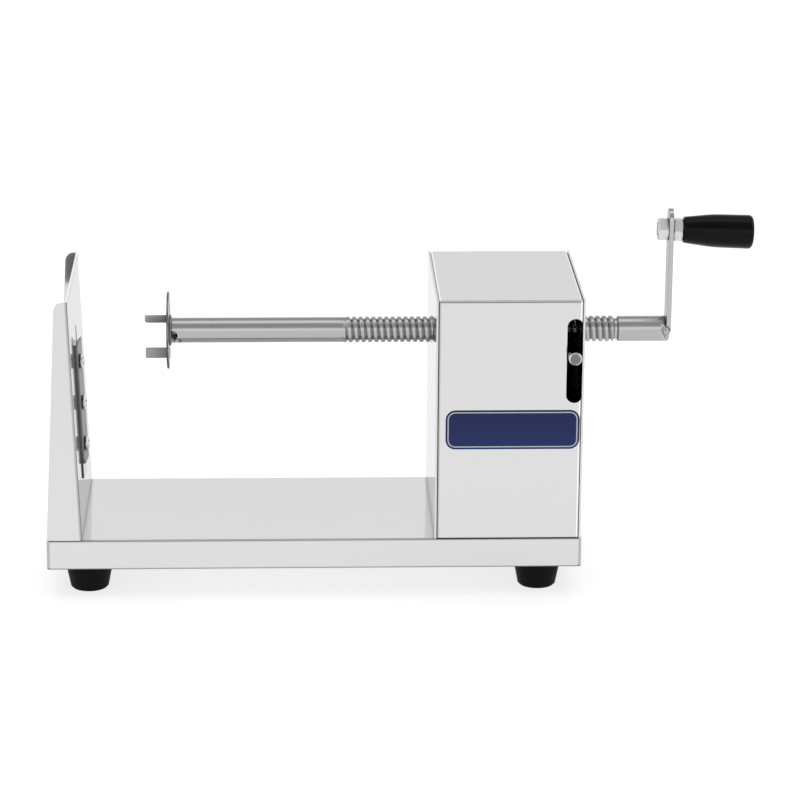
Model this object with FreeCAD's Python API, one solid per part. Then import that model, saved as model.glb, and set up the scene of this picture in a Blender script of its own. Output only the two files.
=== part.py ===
import FreeCAD, Part

import math
import os

"""Hand-cranked tornado potato cutter, in millimetres, +Z up.

Every piece is drawn in machine coordinates: x runs from the base's left end to the crank, y from the
base's front to its rear, and z is 0 on the base's top face. save() then moves it to the part's own frame,
whose origin is the middle of the whole machine on the surface that its feet stand on.
"""

V = FreeCAD.Vector

# Base tray, folded from one sheet
BASE_LENGTH = 330.0
BASE_DEPTH = 120.0
BASE_SKIRT = 18.7
BASE_SHEET = 1.0
BASE_CORNER_R = 2.5
BASE_BEND_R = 1.6
BASE_RETURN = 42.0
BASE_RELIEF = 1.6

# Rubber feet
FOOT_X = (25.0, 304.0)
FOOT_INSET_Y = 21.0
FOOT_TOP_D = 30.0
FOOT_BOTTOM_D = 23.6
FOOT_HEIGHT = 18.3
FOOT_EDGE = 1.0
FOOT_POCKET_D = 13.0
FOOT_POCKET_DEPTH = 9.0
FOOT_WASHER_D = 12.0
FOOT_WASHER = 1.2

# Housing of the lead-screw drive
HOUSING_X0 = 238.8
HOUSING_X1 = 329.1
HOUSING_HEIGHT = 151.9
HOUSING_SHEET = 1.2
HOUSING_BEND_R = 1.8
HOUSING_FLANGE = 10.0
HOUSING_FOOT_GAP = 0.4
PANEL_FLANGE = 13.0
PANEL_HOLE_D = 17.6
SLOT_CENTRE_X = 323.3
SLOT_WIDTH = 10.0
SLOT_Z0 = 87.3
SLOT_Z1 = 140.5

# Blade stand: a leaning face plate between two gussets
STAND_SHEET = 1.2
STAND_HEIGHT = 151.9
PLATE_FOOT_X = 22.0
PLATE_TOP_X = 16.1
GUSSET_FOOT_X = 0.4
GUSSET_TOP_X = 8.2
GUSSET_CORNER_R = 6.0
STAND_BEND_R = 1.8
STAND_FLANGE_X = 3.5
STAND_RELIEF = 1.8

# Blade and the mouth that the slice leaves by, measured on the face plate
BLADE_THICKNESS = 1.0
BLADE_LIFT = 0.8
BLADE_RISE = 1.3
BLADE_WIDTH = 20.0
BLADE_FOOT = 35.0
BLADE_TOP = 113.5
BLADE_BEVEL = 4.5
BLADE_EDGE = 0.15
BLADE_FOOT_R = 6.0
BLADE_TOP_R = 2.0
BLADE_SCREW_HEIGHTS = (101.0, 74.2, 47.4)
BLADE_SCREW_SETBACK = 12.0
BLADE_SCREW_TAIL = 7.5
BLADE_HEAD_D = 9.5
BLADE_HEAD = 2.3
PACKING_WIDTH = 12.5
PACKING_DROP = 8.0
MOUTH_WIDTH = 12.0
MOUTH_LIP = 5.0
MOUTH_FOOT = 27.0
MOUTH_TOP = 112.0
SKEWER_HOLE_D = 8.0

# Spindle: hollow front tube, lead-screw length and crank end on one axis
AXIS_Y = 60.0
AXIS_Z = 117.2
DISC_X = 74.2
DISC_D = 48.0
DISC_THICKNESS = 1.3
TUBE_D = 15.6
SKEWER_BORE_D = 6.0
SKEWER_BORE_END = 280.0
THREAD_X0 = 183.4
THREAD_X1 = 354.7
THREAD_D = 16.2
THREAD_RUNOUT = 0.6
CRANK_END_X = 387.0
CRANK_END_D = 15.8
CRANK_END_R = 1.5
CROSS_HOLE_D = 4.5
CROSS_HOLES = ((79.0, 200.0), (82.4, 262.0))
JOINT_RING_WIDTH = 1.7
RUNNING_GAP = 0.1

# Prongs, bent out of the disc
PRONG_TIP_X = 60.7
PRONG_WIDTH = 6.5
PRONG_MID_R = 14.0
PRONG_BEND_R = 1.0
PRONG_TIP_R = 1.0
PRONG_COUNT = 3
PRONG_FIRST_ANGLE = 253.0

# Crank arm and its handle
ARM_X0 = 384.9
ARM_THICKNESS = 2.8
ARM_WIDTH = 14.0
ARM_TOP_Z = 194.2
ARM_LAP_GAP = 0.5
HANDLE_Z = 181.0
HANDLE_DROOP = 2.1
MACHINE_LENGTH = 437.77
WELD_BEAD_R = 2.8
WELD_INSET = 0.4
STUD_D = 8.0
STUD_TAIL_X = 378.6
STUD_HOLE_D = 8.4
STUD_NUT_THICKNESS = 6.5
STUD_NUT_TURN = 20.0
STUD_CHAMFER = 0.8
STUD_STEP = 0.5
HEX_AF = 13.0
COLLAR_THICKNESS = 6.0
COLLAR_TURN = 26.0
GRIP_GAP = 0.2
GRIP_LENGTH = 43.6
GRIP_NECK_D = 16.4
GRIP_BELLY_D = 20.7
GRIP_TAIL_D = 21.2
GRIP_BELLY_AT = 18.5
GRIP_BELLY_BLEND = 5.0
GRIP_NECK_BEVEL = 0.8
GRIP_END_R = 2.8
GRIP_BORE_DEPTH = 37.5
GRIP_SHAFT_D = 8.8
GRIP_SHAFT_LENGTH = 36.0
SNAP_GROOVE_AT = 30.0
SNAP_GROOVE_WIDTH = 1.6
SNAP_RING_THICKNESS = 1.2
SNAP_RING_D = 10.6
SNAP_SEAT_D = 7.6
SNAP_ROOM_D = 11.2
SNAP_SIDE_GAP = 0.2

# Release lever with its half-nut, hinged inside the housing
LEVER_X0 = 318.7
LEVER_THICKNESS = 8.0
PIVOT_Y = 100.0
PIVOT_Z = 98.0
PIVOT_D = 6.0
PIVOT_HEAD_D = 10.0
PIVOT_HEAD = 3.0
PIVOT_BOSS_R = 9.0
PIVOT_WASHER_D = 12.0
PIVOT_WASHER = 1.0
LEVER_TOP_Z = 104.0
LEVER_BOTTOM_Z = 90.0
NOSE_Y0 = 12.0
NOSE_Y1 = 24.0
NOSE_TOP_Z = 126.0
NOSE_R = 3.0
ROD_D = 8.0
ROD_Z = 118.0
ROD_TIP_Y = -10.0
ROD_CHAMFER = 0.8
ROD_SPIGOT_D = 5.0
HALF_NUT_THICKNESS = 9.4
HALF_NUT_DEPTH = 28.0
HALF_NUT_SEAT_Z = 96.0
HALF_NUT_TOP_Z = 112.4
HALF_NUT_SCREW_SPAN = 18.0

# Bearing bracket inside the housing
BRACKET_X = 298.0
BRACKET_SHEET = 2.0
BRACKET_HEIGHT = 140.0
BRACKET_MARGIN = 4.0
BRACKET_FLANGE = 24.0
BRACKET_CORNER_R = 6.0
BRACKET_BEND_R = 3.0
BUSH_D = 24.0
BUSH_FLANGE_D = 34.0
BUSH_FLANGE = 3.0
BUSH_LENGTH = 16.0
SHELF_Z = 60.0
SHELF_REACH = 26.0
SHELF_Y0 = 20.0
SHELF_Y1 = 52.0
SPRING_WIDTH = 8.0
SPRING_STRIP = 0.8
SPRING_FOOT_Y = 24.0
SPRING_FOOT = 24.0
SPRING_BEND_R = 6.0
SPRING_RISE_ANGLE = 40.0
SPRING_TIP_R = 10.0
SPRING_TIP_DROP = 20.0
RIVET_Y = 32.0
RIVET_D = 4.0
RIVET_HEAD_D = 7.0
RIVET_HEAD = 1.4

# Fasteners
M5_D = 5.0
M5_HOLE_D = 5.4
M5_HEAD_D = 9.5
M5_HEAD = 2.7
M5_NUT_AF = 8.0
M5_NUT = 4.0
M4_D = 4.0
M4_HEAD_D = 7.0
M4_HEAD = 2.4
M4_DEPTH = 11.0
SCREW_ROWS_Y = (30.0, 90.0)
STAND_SCREW_X = 11.5
PANEL_SCREW_INSET = 7.3
BRACKET_SCREW_INSET = 12.0
SCREW_TAIL_Z = 6.8

# Shares of the head's size that shape pan heads, and the turned-down corners of nuts
PAN_EDGE = 0.45
PAN_CROWN = 0.62
RECESS_REACH = 0.24
RECESS_SLIT = 0.11
HEX_FACE = 0.48
HEX_CHAMFER = 30.0

# How far a cutter runs past what it cuts
CLEAR = 5.0

# Sizes that follow from the ones above
FLOOR_Z = -BASE_SKIRT - FOOT_HEIGHT
FOOT_Y = (FOOT_INSET_Y, BASE_DEPTH - FOOT_INSET_Y)
LEVER_X1 = LEVER_X0 + LEVER_THICKNESS
LEVER_MID_X = LEVER_X0 + LEVER_THICKNESS / 2
ARM_X1 = ARM_X0 + ARM_THICKNESS
COLLAR_X1 = ARM_X1 + COLLAR_THICKNESS
GRIP_X0 = COLLAR_X1 + GRIP_GAP
GRIP_X1 = GRIP_X0 + GRIP_LENGTH
TUBE_X0 = DISC_X + DISC_THICKNESS
BRACKET_X1 = BRACKET_X + BRACKET_SHEET
TILT = math.degrees(math.atan((PLATE_FOOT_X - PLATE_TOP_X) / STAND_HEIGHT))
BLADE_BACK_Y = AXIS_Y - BLADE_WIDTH
BLADE_SCREW_Y = AXIS_Y - BLADE_SCREW_SETBACK
BASE_SCREWS = (
    (STAND_SCREW_X, STAND_SHEET),
    (HOUSING_X0 + PANEL_SCREW_INSET, HOUSING_SHEET),
    (BRACKET_X - BRACKET_SCREW_INSET, BRACKET_SHEET),
    (HOUSING_X1 - PANEL_SCREW_INSET, HOUSING_SHEET),
)
ORIGIN = V(MACHINE_LENGTH / 2, (ROD_TIP_Y + BASE_DEPTH) / 2, FLOOR_Z)


# ---------------------------------------------------------------- drawing helpers

def box(x, y, z):
    """A block between two limits along each axis, each given as (low, high)."""
    return Part.makeBox(x[1] - x[0], y[1] - y[0], z[1] - z[0], V(x[0], y[0], z[0]))


def rod(diameter, start, end):
    """A plain cylinder from one point to another."""
    along = end - start
    return Part.makeCylinder(diameter / 2, along.Length, start, along)


def rod_x(diameter, x0, x1, y=AXIS_Y, z=AXIS_Z):
    """A cylinder along x, on the spindle's axis unless told otherwise."""
    return rod(diameter, V(x0, y, z), V(x1, y, z))


def polygon(points):
    """A flat face inside a closed run of straight lines."""
    return Part.Face(Part.makePolygon(points + points[:1]))


def prism_along_y(outline, y0, y1):
    """Extrude an outline of (x, z) points from y0 to y1."""
    return polygon([V(x, y0, z) for x, z in outline]).extrude(V(0, y1 - y0, 0))


def prism_along_z(outline, z0, z1):
    """Extrude an outline of (x, y) points from z0 to z1."""
    return polygon([V(x, y, z0) for x, y in outline]).extrude(V(0, 0, z1 - z0))


def turned_x(outline, y=AXIS_Y, z=AXIS_Z):
    """Turn an outline of (x, radius) points about a line along x."""
    centre = V(0, y, z)
    return polygon([centre + V(x, 0, radius) for x, radius in outline]).revolve(centre, V(1, 0, 0), 360)


def turned_z(outline, x, y):
    """Turn an outline of (z, radius) points about an upright line."""
    centre = V(x, y, 0)
    return polygon([centre + V(radius, 0, z) for z, radius in outline]).revolve(centre, V(0, 0, 1), 360)


def ring(outer_d, inner_d, start, end):
    """A plain ring, washer or sleeve between two points."""
    return rod(outer_d, start, end).cut(rod(inner_d, start, end))


def set_along(shape, start, direction):
    """Take a shape drawn upright at the origin and stand it at start, pointing along direction."""
    shape.Placement = FreeCAD.Placement(start, FreeCAD.Rotation(V(0, 0, 1), direction))
    return shape


def hexagon_nut(across_flats, bore_d, start, end, turn=0.0):
    """A hexagon nut with turned-down corners; turn spins it about its own axis, in degrees."""
    height = (end - start).Length
    reach = across_flats / math.sqrt(3)
    flat = across_flats * HEX_FACE
    drop = (reach - flat) * math.tan(math.radians(HEX_CHAMFER))
    corners = []
    for k in range(6):
        angle = math.radians(60 * k + turn)
        corners.append((reach * math.cos(angle), reach * math.sin(angle)))
    blank = prism_along_z(corners, 0, height)
    chamfer = [(0, 0), (0, flat), (drop, reach), (height - drop, reach), (height, flat), (height, 0)]
    blank = blank.common(turned_z(chamfer, 0, 0))
    if bore_d:
        blank = blank.cut(rod(bore_d, V(0, 0, 0), V(0, 0, height)))
    return set_along(blank, start, end - start)


def pan_screw(diameter, head_d, head_height, seat, tip):
    """A pan-head screw with a cross recess: seat is the point under its head, tip the end of its shank."""
    radius = head_d / 2
    length = (tip - seat).Length
    shoulder = -head_height * PAN_EDGE
    profile = [
        (length, 0), (length, diameter / 2), (0, diameter / 2), (0, radius), (shoulder, radius),
        (-head_height, radius * PAN_CROWN), (-head_height, 0),
    ]
    screw = turned_z(profile, 0, 0)
    arm = head_d * RECESS_REACH
    slit = diameter * RECESS_SLIT
    depth = (-head_height - 1, shoulder)
    recess = box((-arm, arm), (-slit, slit), depth).fuse(box((-slit, slit), (-arm, arm), depth))
    return set_along(screw.cut(recess), seat, tip - seat)


def obround(width, low, high, y, depth):
    """A slot cutter in the y-z plane with round ends, running through depth = (x0, x1)."""
    radius = width / 2
    middle = box(depth, (y - radius, y + radius), (low + radius, high - radius))
    lower = rod_x(width, depth[0], depth[1], y, low + radius)
    upper = rod_x(width, depth[0], depth[1], y, high - radius)
    return middle.fuse([lower, upper]).removeSplitter()


def bent_strip(section, start, heading, hinge, moves):
    """Fold a strip: carry its end face along straight runs and round bends.

    section is the end face, start a point on the outer side of the bends, heading the first direction and
    hinge the bend axis. Each move is (length, 0) for a straight run or (radius, degrees) for a bend.
    """
    pieces = []
    for size, degrees in moves:
        if degrees:
            centre = start + hinge.cross(heading) * size
            pieces.append(section.revolve(centre, hinge, degrees))
            section = section.copy()
            section.rotate(centre, hinge, degrees)
            turn = FreeCAD.Rotation(hinge, degrees)
            start = centre + turn.multVec(start - centre)
            heading = turn.multVec(heading)
        else:
            pieces.append(section.extrude(heading * size))
            section = section.copy()
            section.translate(heading * size)
            start = start + heading * size
    return pieces[0].fuse(pieces[1:]).removeSplitter()


def round_edges(shape, radius, wanted):
    """Fillet the edges for which wanted(middle of the edge, direction of the edge) is true."""
    edges = []
    for edge in shape.Edges:
        ends = [vertex.Point for vertex in edge.Vertexes]
        if len(ends) == 2:
            if wanted((ends[0] + ends[1]) / 2, (ends[1] - ends[0]).normalize()):
                edges.append(edge)
    return shape.makeFillet(radius, edges)


def near(a, b):
    """True when two sizes agree to a hundredth."""
    return abs(a - b) < 0.01


# ---------------------------------------------------------------- base and feet

def tray_block(inset, low, corner_r, bend_r):
    """The tray's outside or inside form: a block with rounded upright corners and a rounded top rim."""
    block = box((inset, BASE_LENGTH - inset), (inset, BASE_DEPTH - inset), (low, -inset))
    block = round_edges(block, corner_r, lambda middle, way: near(abs(way.z), 1))
    return round_edges(block, bend_r, lambda middle, way: near(middle.z, -inset))


def base_tray():
    """Top plate and four skirts; the end skirts return inwards below to carry the feet."""
    sheet = BASE_SHEET
    tray = tray_block(0, -BASE_SKIRT, BASE_CORNER_R, BASE_BEND_R)
    tray = tray.cut(tray_block(sheet, -BASE_SKIRT + sheet, BASE_CORNER_R - sheet, BASE_BEND_R - sheet))
    below = (-BASE_SKIRT - CLEAR, -BASE_SKIRT + sheet)
    inside_y = (sheet, BASE_DEPTH - sheet)
    cutters = [box((BASE_RETURN, BASE_LENGTH - BASE_RETURN), inside_y, below)]
    for x in ((BASE_CORNER_R, BASE_RETURN), (BASE_LENGTH - BASE_RETURN, BASE_LENGTH - BASE_CORNER_R)):
        cutters.append(box(x, (sheet, sheet + BASE_RELIEF), below))
        cutters.append(box(x, (BASE_DEPTH - sheet - BASE_RELIEF, BASE_DEPTH - sheet), below))
    for x in FOOT_X:
        for y in FOOT_Y:
            cutters.append(rod(M5_HOLE_D, V(x, y, below[0]), V(x, y, below[1])))
    for x, _ in BASE_SCREWS:
        for y in SCREW_ROWS_Y:
            cutters.append(rod(M5_HOLE_D, V(x, y, -CLEAR), V(x, y, CLEAR)))
    return tray.cut(cutters)


def foot(x, y):
    """A tapered rubber foot with a pocket below for its washer and screw head."""
    top = FLOOR_Z + FOOT_HEIGHT
    pocket = FLOOR_Z + FOOT_POCKET_DEPTH
    outline = [
        (FLOOR_Z, FOOT_POCKET_D / 2), (FLOOR_Z, FOOT_BOTTOM_D / 2 - FOOT_EDGE),
        (FLOOR_Z + FOOT_EDGE, FOOT_BOTTOM_D / 2), (top - FOOT_EDGE, FOOT_TOP_D / 2),
        (top, FOOT_TOP_D / 2 - FOOT_EDGE), (top, M5_HOLE_D / 2),
        (pocket, M5_HOLE_D / 2), (pocket, FOOT_POCKET_D / 2),
    ]
    return turned_z(outline, x, y)


def foot_fasteners():
    """Screws, washers and nuts that hold the four feet to the returns of the tray."""
    pocket = FLOOR_Z + FOOT_POCKET_DEPTH
    seat = pocket - FOOT_WASHER
    shelf = -BASE_SKIRT + BASE_SHEET
    screws = []
    washers = []
    nuts = []
    for x in FOOT_X:
        for y in FOOT_Y:
            washers.append(ring(FOOT_WASHER_D, M5_HOLE_D, V(x, y, seat), V(x, y, pocket)))
            tip = V(x, y, shelf + M5_NUT + 1)
            screws.append(pan_screw(M5_D, M5_HEAD_D, M5_HEAD, V(x, y, seat), tip))
            nuts.append(hexagon_nut(M5_NUT_AF, M5_D, V(x, y, shelf), V(x, y, shelf + M5_NUT)))
    return screws, washers, nuts


def base_fasteners():
    """Screws from below and nuts above that hold the stand, the side panels and the bracket."""
    screws = []
    nuts = []
    for x, sheet in BASE_SCREWS:
        for y in SCREW_ROWS_Y:
            screws.append(pan_screw(M5_D, M5_HEAD_D, M5_HEAD, V(x, y, -BASE_SHEET), V(x, y, SCREW_TAIL_Z)))
            nuts.append(hexagon_nut(M5_NUT_AF, M5_D, V(x, y, sheet), V(x, y, sheet + M5_NUT)))
    return screws, nuts


# ---------------------------------------------------------------- blade stand

def face_x(z):
    """Where the face plate's front surface stands at height z."""
    return PLATE_FOOT_X + (PLATE_TOP_X - PLATE_FOOT_X) * z / STAND_HEIGHT


def on_plate(shape):
    """Take a shape drawn against an upright plate at x = 0 and lean it against the real one."""
    leaned = shape.copy()
    leaned.rotate(V(0, 0, 0), V(0, 1, 0), -TILT)
    leaned.translate(V(PLATE_FOOT_X, 0, 0))
    return leaned


def blade_stand():
    """Face plate, two gussets and a foot flange, folded from one sheet, with the slice mouth cut in it."""
    sheet = STAND_SHEET
    high = STAND_HEIGHT
    over = high + CLEAR
    outline = [(GUSSET_FOOT_X, 0), (PLATE_FOOT_X, 0), (PLATE_TOP_X, high), (GUSSET_TOP_X, high)]
    stand = prism_along_y(outline, 0, BASE_DEPTH)
    stand = round_edges(
        stand, GUSSET_CORNER_R,
        lambda middle, way: near(abs(way.y), 1) and near(middle.x, GUSSET_TOP_X))
    stand = round_edges(
        stand, STAND_BEND_R,
        lambda middle, way: abs(way.z) > 0.9 and middle.x > (PLATE_TOP_X + GUSSET_TOP_X) / 2)
    hollow = [(-CLEAR, sheet), (face_x(sheet) - sheet, sheet), (face_x(over) - sheet, over), (-CLEAR, over)]
    inside = prism_along_y(hollow, sheet, BASE_DEPTH - sheet)
    inside = round_edges(
        inside, STAND_BEND_R - sheet,
        lambda middle, way: abs(way.z) > 0.9 and middle.x > 0)
    cutters = [inside]
    cutters.append(box((-CLEAR, STAND_FLANGE_X), (sheet, BASE_DEPTH - sheet), (0, sheet)))
    relief_x = (-CLEAR, PLATE_FOOT_X - STAND_BEND_R - sheet)
    cutters.append(box(relief_x, (sheet, sheet + STAND_RELIEF), (0, sheet)))
    cutters.append(box(relief_x, (BASE_DEPTH - sheet - STAND_RELIEF, BASE_DEPTH - sheet), (0, sheet)))
    for y in SCREW_ROWS_Y:
        cutters.append(rod(M5_HOLE_D, V(STAND_SCREW_X, y, -CLEAR), V(STAND_SCREW_X, y, CLEAR)))
    through = (-CLEAR, CLEAR)
    mouth_y = AXIS_Y + MOUTH_LIP - MOUTH_WIDTH / 2
    cutters.append(on_plate(obround(MOUTH_WIDTH, MOUTH_FOOT, MOUTH_TOP, mouth_y, through)))
    skewer_top = AXIS_Z + SKEWER_HOLE_D / 2
    cutters.append(on_plate(obround(SKEWER_HOLE_D, MOUTH_TOP - SKEWER_HOLE_D, skewer_top, AXIS_Y, through)))
    for height in BLADE_SCREW_HEIGHTS:
        cutters.append(on_plate(rod_x(M5_HOLE_D, through[0], through[1], BLADE_SCREW_Y, height)))
    return stand.cut(cutters)


def blade_underside(y):
    """How far the slanted blade's underside stands off the plate at a given y."""
    return BLADE_LIFT + BLADE_RISE * (y - BLADE_BACK_Y) / BLADE_WIDTH


def blade():
    """A knife bevelled to an edge on the spindle's own line, slanted so that the edge stands proud."""
    bevel_y = AXIS_Y - BLADE_BEVEL
    top_edge = blade_underside(AXIS_Y) + BLADE_THICKNESS
    outline = [
        (blade_underside(BLADE_BACK_Y), BLADE_BACK_Y), (BLADE_LIFT + BLADE_THICKNESS, BLADE_BACK_Y),
        (top_edge, AXIS_Y), (top_edge - BLADE_EDGE, AXIS_Y), (blade_underside(bevel_y), bevel_y),
    ]
    knife = prism_along_z(outline, BLADE_FOOT, BLADE_TOP)
    for height, radius in ((BLADE_FOOT, BLADE_FOOT_R), (BLADE_TOP, BLADE_TOP_R)):
        knife = round_edges(
            knife, radius,
            lambda middle, way: near(abs(way.x), 1) and near(middle.y, BLADE_BACK_Y) and near(middle.z, height))
    holes = []
    for height in BLADE_SCREW_HEIGHTS:
        holes.append(rod_x(M5_HOLE_D, 0, CLEAR, BLADE_SCREW_Y, height))
    return on_plate(knife.cut(holes))


def blade_packing():
    """The wedge-shaped strip under the blade that sets how thick a slice it cuts."""
    end_y = BLADE_BACK_Y + PACKING_WIDTH
    outline = [(0, BLADE_BACK_Y), (BLADE_LIFT, BLADE_BACK_Y), (blade_underside(end_y), end_y), (0, end_y)]
    strip = prism_along_z(outline, BLADE_FOOT - PACKING_DROP, BLADE_TOP)
    holes = []
    for height in BLADE_SCREW_HEIGHTS:
        holes.append(rod_x(M5_HOLE_D, -CLEAR, CLEAR, BLADE_SCREW_Y, height))
    return on_plate(strip.cut(holes))


def blade_fasteners():
    """The screws and nuts that clamp the blade on its packing."""
    y = BLADE_SCREW_Y
    seat_x = blade_underside(y + BLADE_HEAD_D / 2) + BLADE_THICKNESS
    screws = []
    nuts = []
    for height in BLADE_SCREW_HEIGHTS:
        seat = V(seat_x, y, height)
        tip = V(-BLADE_SCREW_TAIL, y, height)
        screws.append(on_plate(pan_screw(M5_D, BLADE_HEAD_D, BLADE_HEAD, seat, tip)))
        back = V(-STAND_SHEET, y, height)
        nuts.append(on_plate(hexagon_nut(M5_NUT_AF, M5_D, back, back - V(M5_NUT, 0, 0))))
    return screws, nuts


# ---------------------------------------------------------------- housing

def cover_block(inset, foot_z, edge_r):
    """The cover's outside or inside form: a block with rounded bends all round its front, top and rear."""
    x = (HOUSING_X0 + HOUSING_SHEET + inset, HOUSING_X1 - HOUSING_SHEET - inset)
    block = box(x, (inset, BASE_DEPTH - inset), (foot_z, HOUSING_HEIGHT - inset))
    block = round_edges(block, edge_r, lambda middle, way: near(abs(way.z), 1))
    return round_edges(block, edge_r, lambda middle, way: near(middle.z, HOUSING_HEIGHT - inset))


def housing_cover():
    """Front, top and rear in one folded sheet, with flanges that lie against the side panels."""
    sheet = HOUSING_SHEET
    cover = cover_block(0, HOUSING_FOOT_GAP, HOUSING_BEND_R)
    cover = cover.cut(cover_block(sheet, -CLEAR, HOUSING_BEND_R - sheet))
    flange = HOUSING_FLANGE
    window = box(
        (HOUSING_X0, HOUSING_X1), (flange, BASE_DEPTH - flange), (-CLEAR, HOUSING_HEIGHT - flange))
    slot = obround(SLOT_WIDTH, SLOT_Z0, SLOT_Z1, 0, (-CLEAR, flange + CLEAR))
    slot.rotate(V(0, 0, 0), V(0, 0, 1), 90)
    slot.translate(V(SLOT_CENTRE_X, 0, 0))
    return cover.cut([window, slot])


def side_panel(outer_x, inward):
    """A flat side plate with a foot flange folded inwards; inward is +1 on the left and -1 on the right."""
    sheet = HOUSING_SHEET
    inner_x = outer_x + inward * sheet
    flange_x = outer_x + inward * PANEL_FLANGE
    plate = box(sorted((outer_x, inner_x)), (0, BASE_DEPTH), (0, HOUSING_HEIGHT))
    flange_y = (HOUSING_FLANGE, BASE_DEPTH - HOUSING_FLANGE)
    flange = box(sorted((inner_x, flange_x)), flange_y, (0, sheet))
    panel = plate.fuse(flange).removeSplitter()
    panel = round_edges(
        panel, HOUSING_SHEET / 2,
        lambda middle, way: near(middle.x, inner_x) and near(middle.z, sheet) and near(abs(way.y), 1))
    cutters = [rod_x(PANEL_HOLE_D, outer_x - CLEAR, outer_x + CLEAR)]
    screw_x = outer_x + inward * PANEL_SCREW_INSET
    for y in SCREW_ROWS_Y:
        cutters.append(rod(M5_HOLE_D, V(screw_x, y, -CLEAR), V(screw_x, y, CLEAR)))
    return panel.cut(cutters)


def bearing_bracket():
    """An upright plate that carries the inner bush, the lever's pivot and the spring shelf."""
    y = (BRACKET_MARGIN, BASE_DEPTH - BRACKET_MARGIN)
    web = box((BRACKET_X, BRACKET_X1), y, (0, BRACKET_HEIGHT))
    web = round_edges(
        web, BRACKET_CORNER_R,
        lambda middle, way: near(abs(way.x), 1) and near(middle.z, BRACKET_HEIGHT))
    foot_flange = box((BRACKET_X - BRACKET_FLANGE, BRACKET_X), y, (0, BRACKET_SHEET))
    shelf_y = (SHELF_Y0, SHELF_Y1)
    shelf = box((BRACKET_X1, BRACKET_X1 + SHELF_REACH), shelf_y, (SHELF_Z - BRACKET_SHEET, SHELF_Z))
    bracket = web.fuse([foot_flange, shelf]).removeSplitter()
    bracket = round_edges(
        bracket, BRACKET_BEND_R,
        lambda middle, way: near(middle.x, BRACKET_X1) and near(middle.z, 0) and near(abs(way.y), 1))
    lanced = (SHELF_Z - BRACKET_SHEET - SHELF_REACH, SHELF_Z - BRACKET_SHEET)
    cutters = [box((BRACKET_X - 1, BRACKET_X1 + 1), shelf_y, lanced)]
    cutters.append(rod_x(BUSH_D, BRACKET_X - 1, BRACKET_X1 + 1))
    cutters.append(rod_x(PIVOT_D, BRACKET_X - 1, BRACKET_X1 + 1, PIVOT_Y, PIVOT_Z))
    cutters.append(rod(RIVET_D, V(LEVER_MID_X, RIVET_Y, 0), V(LEVER_MID_X, RIVET_Y, SHELF_Z)))
    for row_y in SCREW_ROWS_Y:
        x = BRACKET_X - BRACKET_SCREW_INSET
        cutters.append(rod(M5_HOLE_D, V(x, row_y, -CLEAR), V(x, row_y, CLEAR)))
    return bracket.cut(cutters)


def bush(flange_x):
    """A flanged plain bearing for the spindle, flange first."""
    bore = THREAD_D / 2 + RUNNING_GAP
    flange_end = flange_x + BUSH_FLANGE
    end = flange_x + BUSH_LENGTH
    outline = [
        (flange_x, bore), (flange_x, BUSH_FLANGE_D / 2), (flange_end, BUSH_FLANGE_D / 2),
        (flange_end, BUSH_D / 2), (end, BUSH_D / 2), (end, bore),
    ]
    return turned_x(outline)


# ---------------------------------------------------------------- release lever and half-nut

def release_lever():
    """A flat lever hinged at the rear, seating the half-nut below the spindle and the rod at its nose."""
    x = (LEVER_X0, LEVER_X1)
    arm = box(x, (NOSE_Y0, PIVOT_Y), (LEVER_BOTTOM_Z, LEVER_TOP_Z))
    nose = box(x, (NOSE_Y0, NOSE_Y1), (LEVER_BOTTOM_Z, NOSE_TOP_Z))
    boss = rod_x(2 * PIVOT_BOSS_R, LEVER_X0, LEVER_X1, PIVOT_Y, PIVOT_Z)
    lever = arm.fuse([nose, boss]).removeSplitter()
    lever = round_edges(
        lever, NOSE_R,
        lambda middle, way: near(abs(way.x), 1) and middle.y < NOSE_Y1 + 1)
    seat_y = (AXIS_Y - HALF_NUT_DEPTH / 2, AXIS_Y + HALF_NUT_DEPTH / 2)
    cutters = [box((LEVER_X0 - 1, LEVER_X1 + 1), seat_y, (HALF_NUT_SEAT_Z, LEVER_TOP_Z + 1))]
    cutters.append(rod_x(PIVOT_D + 2 * RUNNING_GAP, LEVER_X0 - 1, LEVER_X1 + 1, PIVOT_Y, PIVOT_Z))
    cutters.append(rod(ROD_SPIGOT_D, V(LEVER_MID_X, 0, ROD_Z), V(LEVER_MID_X, NOSE_Y1 + 1, ROD_Z)))
    for y in half_nut_screw_rows():
        cutters.append(rod(M4_D, V(LEVER_MID_X, y, 0), V(LEVER_MID_X, y, HALF_NUT_SEAT_Z)))
    return lever.cut(cutters)


def half_nut_screw_rows():
    """The two screws' places along the lever."""
    return (AXIS_Y - HALF_NUT_SCREW_SPAN / 2, AXIS_Y + HALF_NUT_SCREW_SPAN / 2)


def half_nut():
    """The lower half of the lead-screw nut, cradling the spindle from below."""
    half = HALF_NUT_THICKNESS / 2
    seat_y = (AXIS_Y - HALF_NUT_DEPTH / 2, AXIS_Y + HALF_NUT_DEPTH / 2)
    nut = box((LEVER_MID_X - half, LEVER_MID_X + half), seat_y, (HALF_NUT_SEAT_Z, HALF_NUT_TOP_Z))
    cutters = [rod_x(THREAD_D + 2 * RUNNING_GAP, LEVER_MID_X - half - 1, LEVER_MID_X + half + 1)]
    for y in half_nut_screw_rows():
        tip = V(LEVER_MID_X, y, LEVER_BOTTOM_Z + M4_DEPTH)
        cutters.append(rod(M4_D, V(LEVER_MID_X, y, LEVER_BOTTOM_Z), tip))
    return nut.cut(cutters)


def half_nut_screws():
    """Two screws up through the lever into the half-nut."""
    screws = []
    for y in half_nut_screw_rows():
        seat = V(LEVER_MID_X, y, LEVER_BOTTOM_Z)
        screws.append(pan_screw(M4_D, M4_HEAD_D, M4_HEAD, seat, seat + V(0, 0, M4_DEPTH)))
    return screws


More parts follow.
